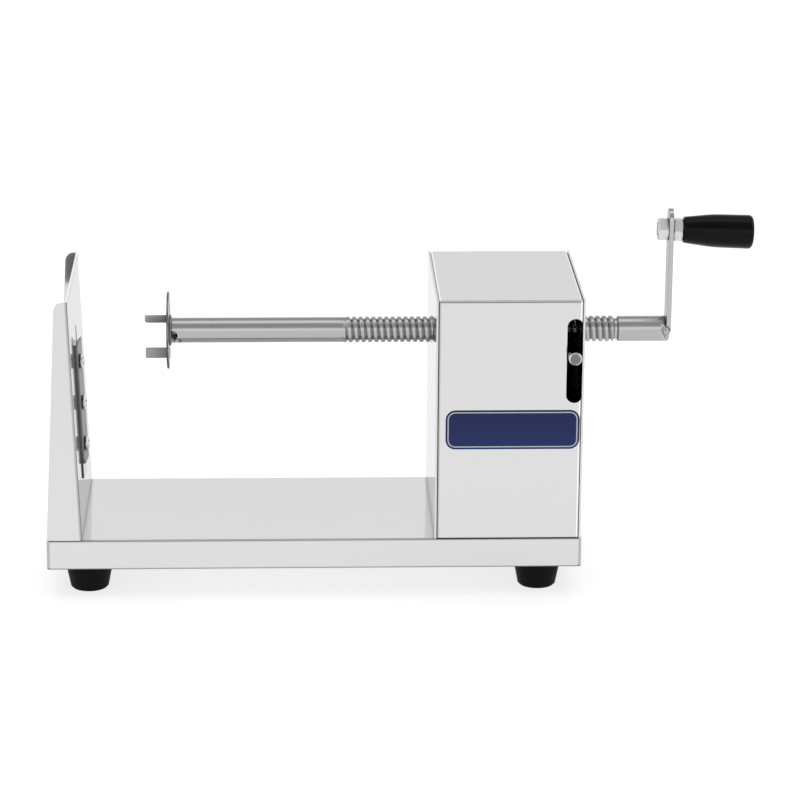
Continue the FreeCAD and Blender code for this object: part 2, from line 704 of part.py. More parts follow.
def release_rod():
    """The round thumb rod that comes out of the housing's slot, with a spigot through the lever's nose."""
    tip = V(LEVER_MID_X, ROD_TIP_Y, ROD_Z)
    shoulder = V(LEVER_MID_X, NOSE_Y0, ROD_Z)
    pin = rod(ROD_D, tip, shoulder)
    pin = pin.makeChamfer(ROD_CHAMFER, [edge for edge in pin.Edges if near(edge.BoundBox.YMax, ROD_TIP_Y)])
    return pin.fuse(rod(ROD_SPIGOT_D, shoulder, V(LEVER_MID_X, NOSE_Y1, ROD_Z))).removeSplitter()


def lever_pivot_pin():
    """A headed pin through the bracket, on which the lever swings."""
    head_x = BRACKET_X - PIVOT_HEAD
    end_x = HOUSING_X1 - HOUSING_SHEET - RUNNING_GAP
    outline = [
        (head_x, 0), (head_x, PIVOT_HEAD_D / 2), (BRACKET_X, PIVOT_HEAD_D / 2),
        (BRACKET_X, PIVOT_D / 2), (end_x, PIVOT_D / 2), (end_x, 0),
    ]
    return turned_x(outline, PIVOT_Y, PIVOT_Z)


def pivot_rings():
    """The sleeve that spaces the lever off the bracket, and the washer beside the panel."""
    sleeve = ring(
        PIVOT_HEAD_D, PIVOT_D, V(BRACKET_X1, PIVOT_Y, PIVOT_Z), V(LEVER_X0 - GRIP_GAP, PIVOT_Y, PIVOT_Z))
    start = V(LEVER_X1 + RUNNING_GAP, PIVOT_Y, PIVOT_Z)
    washer = ring(PIVOT_WASHER_D, PIVOT_D, start, start + V(PIVOT_WASHER, 0, 0))
    return sleeve, washer


def return_spring():
    """A hairpin leaf spring on the shelf that pushes the lever up."""
    x = (LEVER_MID_X - SPRING_WIDTH / 2, LEVER_MID_X + SPRING_WIDTH / 2)
    z = (SHELF_Z, SHELF_Z + SPRING_STRIP)
    y = SPRING_FOOT_Y
    section = polygon([V(x[0], y, z[0]), V(x[1], y, z[0]), V(x[1], y, z[1]), V(x[0], y, z[1])])
    rise = math.radians(SPRING_RISE_ANGLE)
    bend_top = SHELF_Z + SPRING_BEND_R * (1 + math.cos(rise))
    tip_rise = SPRING_TIP_R * (1 - math.cos(rise))
    leg = (LEVER_BOTTOM_Z - bend_top - tip_rise) / math.sin(rise)
    moves = (
        (SPRING_FOOT, 0), (SPRING_BEND_R, 180 - SPRING_RISE_ANGLE), (leg, 0),
        (SPRING_TIP_R, SPRING_RISE_ANGLE + SPRING_TIP_DROP),
    )
    strip = bent_strip(section, V(LEVER_MID_X, y, SHELF_Z), V(0, 1, 0), V(1, 0, 0), moves)
    return strip.cut(rod(RIVET_D, V(LEVER_MID_X, RIVET_Y, SHELF_Z), V(LEVER_MID_X, RIVET_Y, z[1] + 1)))


def spring_rivet():
    """The rivet that holds the spring's foot to the shelf."""
    top = SHELF_Z + SPRING_STRIP
    under = SHELF_Z - BRACKET_SHEET
    outline = [
        (under - RIVET_HEAD, 0), (under - RIVET_HEAD, RIVET_HEAD_D / 2), (under, RIVET_HEAD_D / 2),
        (under, RIVET_D / 2), (top, RIVET_D / 2), (top, RIVET_HEAD_D / 2),
        (top + RIVET_HEAD, RIVET_HEAD_D / 4), (top + RIVET_HEAD, 0),
    ]
    return turned_z(outline, LEVER_MID_X, RIVET_Y)


# ---------------------------------------------------------------- spindle, prong disc and crank

def across_axis(x, degrees, diameter, reach):
    """A drill through the spindle's axis at x, turned about it from +y towards +z."""
    angle = math.radians(degrees)
    arm = V(0, math.cos(angle), math.sin(angle)) * reach
    centre = V(x, AXIS_Y, AXIS_Z)
    return rod(diameter, centre, centre + arm)


def spindle():
    """Hollow front tube, the lead screw's length and the crank end, turned as one shaft."""
    thread_r = THREAD_D / 2
    runout = THREAD_RUNOUT
    outline = [
        (TUBE_X0, 0), (TUBE_X0, TUBE_D / 2), (THREAD_X0, TUBE_D / 2),
        (THREAD_X0 + runout, thread_r), (THREAD_X1 - runout, thread_r), (THREAD_X1, CRANK_END_D / 2),
        (CRANK_END_X, CRANK_END_D / 2), (CRANK_END_X, 0),
    ]
    shaft = turned_x(outline)
    rim = [edge for edge in shaft.Edges if near(edge.BoundBox.XMin, CRANK_END_X)]
    shaft = shaft.makeFillet(CRANK_END_R, rim)
    lap_y = (AXIS_Y - ARM_WIDTH, AXIS_Y + ARM_WIDTH)
    lap = box((ARM_X0 - ARM_LAP_GAP, CRANK_END_X + 1), lap_y, (AXIS_Z, AXIS_Z + ARM_WIDTH))
    cutters = [lap, rod_x(SKEWER_BORE_D, TUBE_X0, SKEWER_BORE_END)]
    for x, degrees in CROSS_HOLES:
        cutters.append(across_axis(x, degrees, CROSS_HOLE_D, TUBE_D))
    return shaft.cut(cutters)


def prong(angle):
    """One prong, folded out of the disc towards the blade, and the window that it leaves."""
    thick = DISC_THICKNESS
    outer_r = PRONG_BEND_R + thick
    start_t = -PRONG_BEND_R - thick / 2
    y = (PRONG_MID_R - PRONG_WIDTH / 2, PRONG_MID_R + PRONG_WIDTH / 2)
    back = V(TUBE_X0, 0, start_t)
    run = back.x - outer_r - PRONG_TIP_X
    corners = [(TUBE_X0, y[0]), (TUBE_X0, y[1]), (DISC_X, y[1]), (DISC_X, y[0])]
    section = polygon([V(x, side, start_t) for x, side in corners])
    tab = bent_strip(section, back, V(0, 0, 1), V(0, -1, 0), ((outer_r, 90), (run, 0)))
    tab = round_edges(
        tab, PRONG_TIP_R,
        lambda middle, way: near(abs(way.z), 1) and near(middle.x, PRONG_TIP_X))
    window = box((DISC_X - 1, TUBE_X0 + 1), y, (start_t, start_t + run))
    for shape in (tab, window):
        shape.rotate(V(0, 0, 0), V(1, 0, 0), angle)
        shape.translate(V(0, AXIS_Y, AXIS_Z))
    return tab, window


def prong_disc():
    """A thin round plate with three prongs folded out of it that drive the potato."""
    disc = rod_x(DISC_D, DISC_X, TUBE_X0).cut(rod_x(SKEWER_BORE_D, DISC_X, TUBE_X0))
    for k in range(PRONG_COUNT):
        tab, window = prong(PRONG_FIRST_ANGLE + k * 360 / PRONG_COUNT)
        disc = disc.cut(window).fuse(tab)
    return disc.removeSplitter()


def disc_joint_ring():
    """The narrow ring round the tube where it meets the disc."""
    x = TUBE_X0 + RUNNING_GAP
    inner = TUBE_D / 2 + RUNNING_GAP
    width = JOINT_RING_WIDTH
    return turned_x([(x, inner), (x, inner + width), (x + width / 2, inner + width), (x + width, inner)])


def crank_arm():
    """A flat bar that stands in the spindle's half-lap, round at its free end."""
    y = (AXIS_Y - ARM_WIDTH / 2, AXIS_Y + ARM_WIDTH / 2)
    round_z = ARM_TOP_Z - ARM_WIDTH / 2
    bar = box((ARM_X0, ARM_X1), y, (AXIS_Z, round_z))
    bar = bar.fuse(rod_x(ARM_WIDTH, ARM_X0, ARM_X1, AXIS_Y, round_z)).removeSplitter()
    return bar.cut(rod_x(STUD_HOLE_D, ARM_X0 - 1, ARM_X1 + 1, AXIS_Y, HANDLE_Z))


def crank_welds():
    """A weld bead on each side where the arm meets the shaft."""
    beads = []
    for side in (-1, 1):
        centre = V(ARM_X0, AXIS_Y + side * (ARM_WIDTH / 2 - WELD_INSET), AXIS_Z)
        bead = Part.makeSphere(WELD_BEAD_R, centre).cut(spindle()).cut(crank_arm())
        beads.append(max(bead.Solids, key=lambda solid: solid.Volume))
    return beads


def on_handle(shape):
    """Lean a shape drawn on a level handle to the real handle's slight droop."""
    leaned = shape.copy()
    leaned.rotate(V((ARM_X0 + ARM_X1) / 2, AXIS_Y, HANDLE_Z), V(0, 1, 0), HANDLE_DROOP)
    return leaned


def clear_of_arm(shape):
    """Face off what leans into the crank arm."""
    y = (AXIS_Y - ARM_WIDTH, AXIS_Y + ARM_WIDTH)
    return shape.cut(box((ARM_X0, ARM_X1), y, (HANDLE_Z - ARM_WIDTH, HANDLE_Z + ARM_WIDTH)))


def handle_stud():
    """Threaded tail, hexagon collar and the smooth shaft that the grip turns on."""
    shaft_end = COLLAR_X1 + GRIP_SHAFT_LENGTH
    groove = COLLAR_X1 + SNAP_GROOVE_AT
    groove_end = groove + SNAP_GROOVE_WIDTH
    half = GRIP_SHAFT_D / 2
    step = ARM_X1 + STUD_STEP
    bevel = STUD_CHAMFER
    outline = [
        (STUD_TAIL_X, 0), (STUD_TAIL_X, STUD_D / 2 - bevel), (STUD_TAIL_X + bevel, STUD_D / 2),
        (step, STUD_D / 2), (step, half), (groove, half), (groove, SNAP_SEAT_D / 2),
        (groove_end, SNAP_SEAT_D / 2), (groove_end, half), (shaft_end - bevel, half),
        (shaft_end, half - bevel), (shaft_end, 0),
    ]
    shaft = on_handle(turned_x(outline, AXIS_Y, HANDLE_Z))
    collar = hexagon_nut(
        HEX_AF, 0, V(ARM_X1, AXIS_Y, HANDLE_Z), V(COLLAR_X1, AXIS_Y, HANDLE_Z), COLLAR_TURN)
    return shaft.fuse(clear_of_arm(on_handle(collar))).removeSplitter()


def stud_nut():
    """The nut that clamps the stud to the arm."""
    start = V(ARM_X0 - STUD_NUT_THICKNESS, AXIS_Y, HANDLE_Z)
    nut = hexagon_nut(HEX_AF, STUD_D, start, V(ARM_X0, AXIS_Y, HANDLE_Z), STUD_NUT_TURN)
    return clear_of_arm(on_handle(nut))


def snap_ring():
    """The ring in the stud's groove that keeps the grip on."""
    start = V(COLLAR_X1 + SNAP_GROOVE_AT + SNAP_SIDE_GAP, AXIS_Y, HANDLE_Z)
    return on_handle(ring(SNAP_RING_D, SNAP_SEAT_D, start, start + V(SNAP_RING_THICKNESS, 0, 0)))


def handle_grip():
    """A barrel grip: bevelled neck, cone to its belly, nearly straight tail and a rounded end."""
    centre = V(GRIP_X0, AXIS_Y, HANDLE_Z)
    neck_r = GRIP_NECK_D / 2
    belly_r = GRIP_BELLY_D / 2
    tail_r = GRIP_TAIL_D / 2
    bevel = GRIP_NECK_BEVEL
    blend = GRIP_BELLY_BLEND

    def at(along, radius):
        return centre + V(along, 0, radius)

    neck = at(bevel, neck_r)
    belly = at(GRIP_BELLY_AT, belly_r)
    tail = at(GRIP_LENGTH, tail_r)
    blend_start = belly + (neck - belly).normalize() * blend
    blend_end = belly + (tail - belly).normalize() * blend
    blend_middle = (blend_start + belly * 2 + blend_end) * (1 / 4)
    edges = [
        Part.makeLine(at(0, 0), at(0, neck_r - bevel)),
        Part.makeLine(at(0, neck_r - bevel), neck),
        Part.makeLine(neck, blend_start),
        Part.Arc(blend_start, blend_middle, blend_end).toShape(),
        Part.makeLine(blend_end, tail),
        Part.makeLine(tail, at(GRIP_LENGTH, 0)),
        Part.makeLine(at(GRIP_LENGTH, 0), at(0, 0)),
    ]
    grip = Part.Face(Part.Wire(edges)).revolve(centre, V(1, 0, 0), 360)
    rim = [edge for edge in grip.Edges if near(edge.BoundBox.XMin, GRIP_X1) and edge.Length > belly_r]
    grip = grip.makeFillet(GRIP_END_R, rim)
    bore = rod_x(GRIP_SHAFT_D + 2 * RUNNING_GAP, GRIP_X0, GRIP_X0 + GRIP_BORE_DEPTH, AXIS_Y, HANDLE_Z)
    groove = COLLAR_X1 + SNAP_GROOVE_AT
    room = rod_x(SNAP_ROOM_D, groove, groove + SNAP_GROOVE_WIDTH, AXIS_Y, HANDLE_Z)
    return on_handle(grip.cut([bore, room]))


# ---------------------------------------------------------------- all pieces

def save(shape, name):
    """Move a piece, or a list of like pieces, to the part's frame and write it out."""
    whole = Part.makeCompound(shape) if isinstance(shape, list) else shape
    moved = whole.copy()
    moved.translate(ORIGIN * -1)
    moved.exportStep("parts/" + name + ".step")


def main():
    os.makedirs("parts", exist_ok=True)
    save(base_tray(), "base_tray")
    for end, x in zip(("left", "right"), FOOT_X):
        for side, y in zip(("front", "rear"), FOOT_Y):
            save(foot(x, y), "foot_" + side + "_" + end)
    screws, washers, nuts = foot_fasteners()
    save(screws, "foot_screws")
    save(washers, "foot_washers")
    save(nuts, "foot_nuts")
    screws, nuts = base_fasteners()
    save(screws, "base_screws")
    save(nuts, "base_nuts")

    save(blade_stand(), "blade_stand")
    save(blade(), "blade")
    save(blade_packing(), "blade_packing")
    screws, nuts = blade_fasteners()
    save(screws, "blade_screws")
    save(nuts, "blade_nuts")

    save(housing_cover(), "housing_cover")
    save(side_panel(HOUSING_X0, 1), "housing_left_panel")
    save(side_panel(HOUSING_X1, -1), "housing_right_panel")
    save(bearing_bracket(), "bearing_bracket")
    save(bush(HOUSING_X0 + HOUSING_SHEET), "left_bush")
    save(bush(BRACKET_X - BUSH_FLANGE), "right_bush")

    save(release_lever(), "release_lever")
    save(half_nut(), "half_nut")
    save(half_nut_screws(), "half_nut_screws")
    save(release_rod(), "release_rod")
    save(lever_pivot_pin(), "lever_pivot_pin")
    sleeve, washer = pivot_rings()
    save(sleeve, "pivot_sleeve")
    save(washer, "pivot_washer")
    save(return_spring(), "return_spring")
    save(spring_rivet(), "spring_rivet")

    save(spindle(), "spindle")
    save(prong_disc(), "prong_disc")
    save(disc_joint_ring(), "disc_joint_ring")
    save(crank_arm(), "crank_arm")
    save(crank_welds(), "crank_welds")
    save(handle_stud(), "handle_stud")
    save(stud_nut(), "stud_nut")
    save(snap_ring(), "snap_ring")
    save(handle_grip(), "handle_grip")


main()
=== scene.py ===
"""Hand-cranked spiral potato cutter: finishes, cut thread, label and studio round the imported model."""

import math

import bpy
import numpy as np
from mathutils import Matrix, Vector


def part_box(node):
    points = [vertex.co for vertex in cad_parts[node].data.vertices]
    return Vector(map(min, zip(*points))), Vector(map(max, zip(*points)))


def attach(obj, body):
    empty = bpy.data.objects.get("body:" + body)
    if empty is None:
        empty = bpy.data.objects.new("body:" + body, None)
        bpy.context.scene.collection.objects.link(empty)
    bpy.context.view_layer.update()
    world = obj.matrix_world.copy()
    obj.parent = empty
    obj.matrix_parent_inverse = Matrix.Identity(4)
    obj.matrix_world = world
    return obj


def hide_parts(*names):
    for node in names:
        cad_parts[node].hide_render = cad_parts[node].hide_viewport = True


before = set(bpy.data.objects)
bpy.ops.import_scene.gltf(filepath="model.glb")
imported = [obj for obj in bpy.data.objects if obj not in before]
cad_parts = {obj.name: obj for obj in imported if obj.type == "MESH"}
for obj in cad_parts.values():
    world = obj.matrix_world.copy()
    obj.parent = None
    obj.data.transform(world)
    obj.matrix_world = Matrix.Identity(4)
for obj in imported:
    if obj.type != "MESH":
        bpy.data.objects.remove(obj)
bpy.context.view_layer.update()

bl_info = {
    "name": "Spiral potato cutter",
    "version": (1, 0, 0),
    "blender": (4, 5, 0),
    "location": "3D View > Sidebar > Cutter",
    "description": "Dresses the packed spiral potato cutter and sets its studio",
    "category": "Object",
}

MM = 0.001
TURN = 2 * math.pi

# Where the machine's main parts lie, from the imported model
SPINDLE_LOW, SPINDLE_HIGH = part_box("spindle")
AXIS_Y = (SPINDLE_LOW.y + SPINDLE_HIGH.y) / 2
AXIS_Z = (SPINDLE_LOW.z + SPINDLE_HIGH.z) / 2
HOUSING_LOW, HOUSING_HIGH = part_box("housing_cover")
HOUSING_MID_X = (HOUSING_LOW.x + HOUSING_HIGH.x) / 2
ARM_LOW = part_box("crank_arm")[0]
TRAY_LOW, TRAY_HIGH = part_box("base_tray")
STAND_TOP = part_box("blade_stand")[1].z

MACHINE_ZERO = Vector((TRAY_LOW.x, TRAY_LOW.y, TRAY_HIGH.z))

# Spindle, measured along x from its front end unless said otherwise
TUBE_R = 7.8 * MM
BORE_R = 3.0 * MM
BORE_SEEN = 14 * MM
THREAD_START = 107.9 * MM
THREAD_END = 279.2 * MM
THREAD_R = 8.1 * MM
CRANK_END_R = 7.9 * MM
RIM_R = 1.5 * MM
LAP_DEPTH = 2.6 * MM
RELIEF_WIDTH = 3.0 * MM
CROSS_HOLE_DEPTH = 3.8 * MM
CROSS_HOLE_ROUNDING = 0.35 * MM

# Cross holes: how far along, at which angle in degrees, and radius. Then the margin in degrees that the
# finer columns keep round them, the length that they may cut, the rows that lie inside the bore, and the
# number of columns at the holes and elsewhere
CROSS_HOLES = ((2.0 * MM, 192.0, 2.9 * MM), (4.9 * MM, 226.0, 2.5 * MM))
CROSS_HOLE_MARGIN = 26
FRONT_LENGTH = 12 * MM
BORE_ROWS = 4
HOLE_COLUMNS = 68
OTHER_COLUMNS = 50

# Marks on the spindle: the cut's burnish, the painted shade along its roots and how wide that is as a
# share of the pitch, the share of that painted shade in the cross holes and at the shoulder, and how far
# it reaches at the shoulder
BURNISH = 0.35
ROOT_SHADE = 1.3
SHADE_LINE = 0.07
HOLE_SHADE = 0.6
SHOULDER_SHADE = 0.65
SHOULDER_REACH = 0.35 * MM

# Screws: places in the machine's own millimetres, from the left front corner of the base's top
PLATE_FOOT_X = 22.0
PLATE_LEAN = math.radians(2.224)
BLADE_SCREW_Y = 48.0
BLADE_SCREW_SEAT = 2.63
BLADE_SCREW_HEIGHTS = (101.0, 74.2, 47.4)
BASE_SCREW_X = (11.5, 246.1, 286.0, 321.8)
BASE_SCREW_Y = (30.0, 90.0)
FOOT_SCREW_X = (25.0, 304.0)
FOOT_SCREW_Y = (21.0, 99.0)
BLADE_SCREW_TURNS = (0.3, 1.0, 0.65)
BLADE_SCREW_REACH = 7.5
BLADE_SCREW_HEAD = 2.3
OTHER_SCREW_HEAD = 2.7

# The other sets: piece, node it replaces, rows, seat's height, length, and which way the recesses turn
SCREW_SETS = (
    ("base_screw_set", "base_screws", BASE_SCREW_X, BASE_SCREW_Y, -1.0, 7.8, 1),
    ("foot_screw_set", "foot_screws", FOOT_SCREW_X, FOOT_SCREW_Y, -29.2, 16.5, -1),
)

# Weld beads: how far they stand out, their half widths, and how strong and how close their ripples are
BEAD_OUT = 2.4 * MM
BEAD_HALF_X = 3.0 * MM
BEAD_HALF_Z = 3.3 * MM
RIPPLE_SHARE = 0.16
RIPPLE_PHASE = 9

# Label: how far right of the housing's middle it sits, how high over the tray, and how thick it is
LABEL_OFFSET = 2 * MM
LABEL_HEIGHT = 70.4 * MM
LABEL_THICKNESS = 0.15 * MM


# ---------------------------------------------------------------- surfaces

def make_piece(name, vertices, faces, body, slot):
    """A smooth-shaded mesh from points and faces, riding on a body. The slot it is given is not used."""
    mesh = bpy.data.meshes.new(name)
    mesh.from_pydata(vertices.reshape(-1, 3).tolist(), [], faces)
    mesh.validate()
    mesh.polygons.foreach_set("use_smooth", np.ones(len(mesh.polygons), bool))
    mesh.update()
    piece = bpy.data.objects.new(name, mesh)
    bpy.context.scene.collection.objects.link(piece)
    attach(piece, body)
    return piece


def sleeve_faces(rows, columns, first=0):
    """Quads between neighbouring rings of a grid closed round its columns, and a fan over each end.

    Vertex (row, column) has the number first + row * columns + column; the two poles follow the grid.
    """
    number = first + np.arange(rows * columns).reshape(rows, columns)
    after = np.roll(number, -1, axis=1)
    quads = np.stack([number[:-1], after[:-1], after[1:], number[1:]], axis=-1).reshape(-1, 4)
    start = np.full(columns, first + rows * columns)
    fans = np.concatenate([
        np.stack([after[0], number[0], start], axis=-1),
        np.stack([number[-1], after[-1], start + 1], axis=-1),
    ])
    return quads.tolist() + fans.tolist()


def close_sleeve(grid):
    """The grid's points, then a pole at the middle of its first ring and one at its last's."""
    poles = [grid[0].mean(axis=0), grid[-1].mean(axis=0)]
    return np.concatenate([grid.reshape(-1, 3), poles])


def join_sleeves(sleeves):
    """The points and faces of several sleeves in one mesh.

    Each sleeve is given as its points with poles, its grid's shape, and whether its faces turn over.
    """
    points = []
    faces = []
    first = 0
    for own_points, shape, turned in sleeves:
        points.append(own_points)
        for face in sleeve_faces(*shape[:2], first):
            faces.append(face[::-1] if turned else face)
        first += len(own_points)
    return np.concatenate(points), faces


def about_spindle(x, radius, angle):
    """Points at radius from the spindle's axis, at an angle that grows from +y towards +z."""
    x, radius, angle = np.broadcast_arrays(x, radius, angle)
    return np.stack([x, AXIS_Y + radius * np.cos(angle), AXIS_Z + radius * np.sin(angle)], axis=-1)


def ease(value):
    """A smooth step from 0 to 1: three times the square less twice the cube of the clipped value."""
    t = np.clip(value, 0, 1)
    return t * t * (3 - 2 * t)


def steps(start, end, size):
    """Even steps of about one size from start to end, without the end."""
    return np.linspace(start, end, max(2, round(abs(end - start) / size)), endpoint=False)


# ---------------------------------------------------------------- node materials

class Field:
    """A socket that takes part in arithmetic: each operation adds a Math or Vector Math node."""

    def __init__(self, graph, socket):
        self.graph = graph
        self.socket = socket

    def join(self, operation, *others, first=None):
        """One Math node, or Vector Math with a vector; self comes first, unless first is given."""
        terms = ([first] if first is not None else []) + [self, *others]
        vector = any(isinstance(t, Field) and t.socket.type == "VECTOR" for t in terms)
        if vector:
            terms = [(t,) * 3 if isinstance(t, (int, float)) else t for t in terms]
        kind = "ShaderNodeVectorMath" if vector else "ShaderNodeMath"
        return self.graph.add(kind, {"operation": operation}, dict(enumerate(terms)))

    def __add__(self, other):
        return self.join("ADD", other)

    def __radd__(self, other):
        return self.join("ADD", first=other)

    def __sub__(self, other):
        return self.join("SUBTRACT", other)

    def __rsub__(self, other):
        return self.join("SUBTRACT", first=other)

    def __mul__(self, other):
        return self.join("MULTIPLY", other)

    def __rmul__(self, other):
        return self.join("MULTIPLY", first=other)

    def __truediv__(self, other):
        return self.join("DIVIDE", other)

    def __pow__(self, other):
        return self.join("POWER", other)

    def over(self, edge):
        """1 where the field is greater than edge, and 0 elsewhere."""
        return self.join("GREATER_THAN", edge)

    def bounded(self):
        """The field kept between 0 and 1."""
        return self.graph.add("ShaderNodeClamp", {}, {"Value": self})


class Graph:
    """A node tree under construction."""

    def __init__(self, tree):
        self.tree = tree
        tree.nodes.clear()

    def add(self, kind, settings=None, sockets=None, out=0):
        """One node, with its settings and its sockets' values or links; returns one of its outputs."""
        node = self.tree.nodes.new(kind)
        for name, value in (settings or {}).items():
            setattr(node, name, value)
        for name, value in (sockets or {}).items():
            if isinstance(value, Field):
                self.tree.links.new(value.socket, node.inputs[name])
            else:
                node.inputs[name].default_value = value
        return Field(self, node.outputs[out]) if node.outputs else node

    def place(self):
        """Object coordinates: the place on the machine, in metres."""
        return self.add("ShaderNodeTexCoord", out="Object")

    def noise(self, scale, stretch=(1, 1, 1), detail=2.0):
        """Grey noise about half, with features of 1 / scale metres, finer where stretch is larger."""
        sockets = {"Vector": self.place() * stretch, "Scale": scale, "Detail": detail}
        return self.add("ShaderNodeTexNoise", {}, sockets)

    def mix(self, factor, low, high):
        """A colour between two others."""
        settings = {"data_type": "RGBA", "clamp_factor": True}
        return self.add("ShaderNodeMix", settings, {0: factor, 6: low, 7: high}, out=2)

    def light_path(self, ray):
        """1 for rays of the named kind, and 0 for others."""
        return self.add("ShaderNodeLightPath", out=ray)


def rgb(colour):
    """A colour with an alpha of 1."""
    return (*colour[:3], 1.0)


def shade(colour, factor):
    """A colour made lighter or darker."""
    return tuple(channel * factor for channel in colour[:3]) + (1.0,)


class Finish(Graph):
    """A node material: textures added by expressions, then one surface shader."""

    def __init__(self, name):
        self.material = bpy.data.materials.new(name)
        self.material.use_nodes = True
        super().__init__(self.material.node_tree)

    def rounded(self, radius):
        """The surface's direction with hard edges softened by a radius."""
        return self.add("ShaderNodeBevel", {"samples": 6}, {"Radius": radius})

    def edge_share(self, rounded):
        """0 on open faces and 1 along hard edges, where the softened direction leans most."""
        true = self.add("ShaderNodeNewGeometry", out="True Normal")
        sockets = {0: rounded, 1: true}
        along = self.add("ShaderNodeVectorMath", {"operation": "DOT_PRODUCT"}, sockets, out="Value")
        return ((1 - along) * 3.5).bounded()

    def surface(self, colour, roughness, height=None, relief=0.0, normal=None, **constants):
        """Finish the material with a Principled shader.

        height is a bump of relief metres over the normal. Underscores in the names of constants stand
        for spaces.
        """
        sockets = {"Base Color": colour, "Roughness": roughness}
        for name, value in constants.items():
            sockets[name.replace("_", " ")] = value
        if height is not None:
            bump = {"Height": height, "Distance": relief, "Strength": 1.0}
            if normal is not None:
                bump["Normal"] = normal
            normal = self.add("ShaderNodeBump", {}, bump)
        if normal is not None:
            sockets["Normal"] = normal
        shader = self.add("ShaderNodeBsdfPrincipled", {}, sockets)
        self.add("ShaderNodeOutputMaterial", {}, {"Surface": shader})
        return self.material


# Bare metal: what it returns at a grazing angle, the colour of the shade painted on it, its tone where
# burnished, the scale of its slow patches, and how far painted shade reaches out of a piece's corners
# and a sheet's folds
GRAZING_TINT = (0.74, 0.74, 0.74, 1.0)
PAINTED_SHADE = (0.015, 0.014, 0.013, 1.0)
BURNISHED = (0.9, 0.9, 0.9, 1.0)
PATCH_SCALE = 14.0
SEAM_REACH = 2.2 * MM
FOLD_REACH = 2.5 * MM

# Folded sheet: how round its hard edges look, how far up the painted shade along its lowest edge
# reaches, how far down the painted shade under its top edge reaches, and how squarely a face has to look
# along an axis to count as flat
EDGE_ROUNDING = 0.3 * MM
SHADED_EDGE_REACH = 0.7 * MM
SHADE_MARGIN_REACH = 4 * MM
SQUARE = 0.9


def steel(name, colour, roughness, grain, grain_depth, streak_scale=900.0, rounding=0.0, variation=0.05,
          edges=0.0, seams=0.0, worn_and_shaded=False, painted_shades=None):
    """Bare steel: fine streaks drawn along grain, and slow patches in tone and gloss.

    grain is how much finer the streaks are along each axis, so 0.02 draws them out fifty times. edges
    paints shade along the hard edges, which rounding softens, and seams paints shade into the seams and
    corners. When the piece is marked, its point attribute brightens the burnished metal where it is
    above
    0 and paints shade where it is below. A function of the finish may give a share of the colour that
    varies over the piece: painted shade and painted highlight.
    """
    finish = Finish(name)
    streaks = finish.noise(streak_scale, grain, 3.0)
    patches = finish.noise(PATCH_SCALE)
    tone = (streaks - 0.5) * variation * 2 + (patches - 0.5) * variation + 0.5
    paint = finish.mix(tone, shade(colour, 0.86), shade(colour, 1.14))
    # A share of painted shade and painted highlight that varies over the piece
    if painted_shades:
        paint = finish.mix(painted_shades(finish), PAINTED_SHADE, paint)
    normal = finish.rounded(rounding) if rounding else None
    # Painted shade along the hard edges, then in the seams and corners
    if edges:
        paint = finish.mix(finish.edge_share(normal) * edges, paint, PAINTED_SHADE)
    if seams:
        paint = finish.mix(crevice_share(finish, SEAM_REACH) * seams, paint, PAINTED_SHADE)
    # Burnish brightens the cut; below 0 the marks are painted shade
    if worn_and_shaded:
        burnish_and_shade = finish.add("ShaderNodeAttribute", {"attribute_name": "burnish_and_shade"}, out="Fac")
        paint = finish.mix(burnish_and_shade.bounded() * 0.75, paint, BURNISHED)
        paint = finish.mix((-1.0 * burnish_and_shade).bounded() * 0.85, paint, PAINTED_SHADE)
    gloss = roughness + (streaks - 0.5) * roughness * 0.5 + (patches - 0.5) * roughness * 0.5
    return finish.surface(
        paint, gloss, streaks * grain_depth, 1.0, normal, Metallic=1.0, Specular_Tint=GRAZING_TINT)


def bend_share(finish):
    """0 on flat faces and 1 on the bends between them, where two parts of the normal count at once."""
    x, y, z = (facing(finish, axis) for axis in "XYZ")
    return ((x * y + y * z + x * z - 0.07) * 4.0).bounded()


def crevice_share(finish, reach):
    """Share of painted shade: 0 in the open and 1 deep in a corner or seam, where much of the view is
    closed within reach.
    """
    settings = {"samples": 6}
    open_share = finish.add("ShaderNodeAmbientOcclusion", settings, {"Distance": reach}, out="AO")
    return ((1 - open_share) * 2.0).bounded() ** 2.0


def along_axis(finish, vector, axis):
    """One part of a vector field."""
    split = finish.add("ShaderNodeSeparateXYZ", {}, {0: vector})
    return Field(finish, split.socket.node.outputs[axis])


def facing(finish, axis):
    """How squarely the surface faces along an axis, either way."""
    return along_axis(finish, finish.add("ShaderNodeTexCoord", out="Normal"), axis).join("ABSOLUTE")


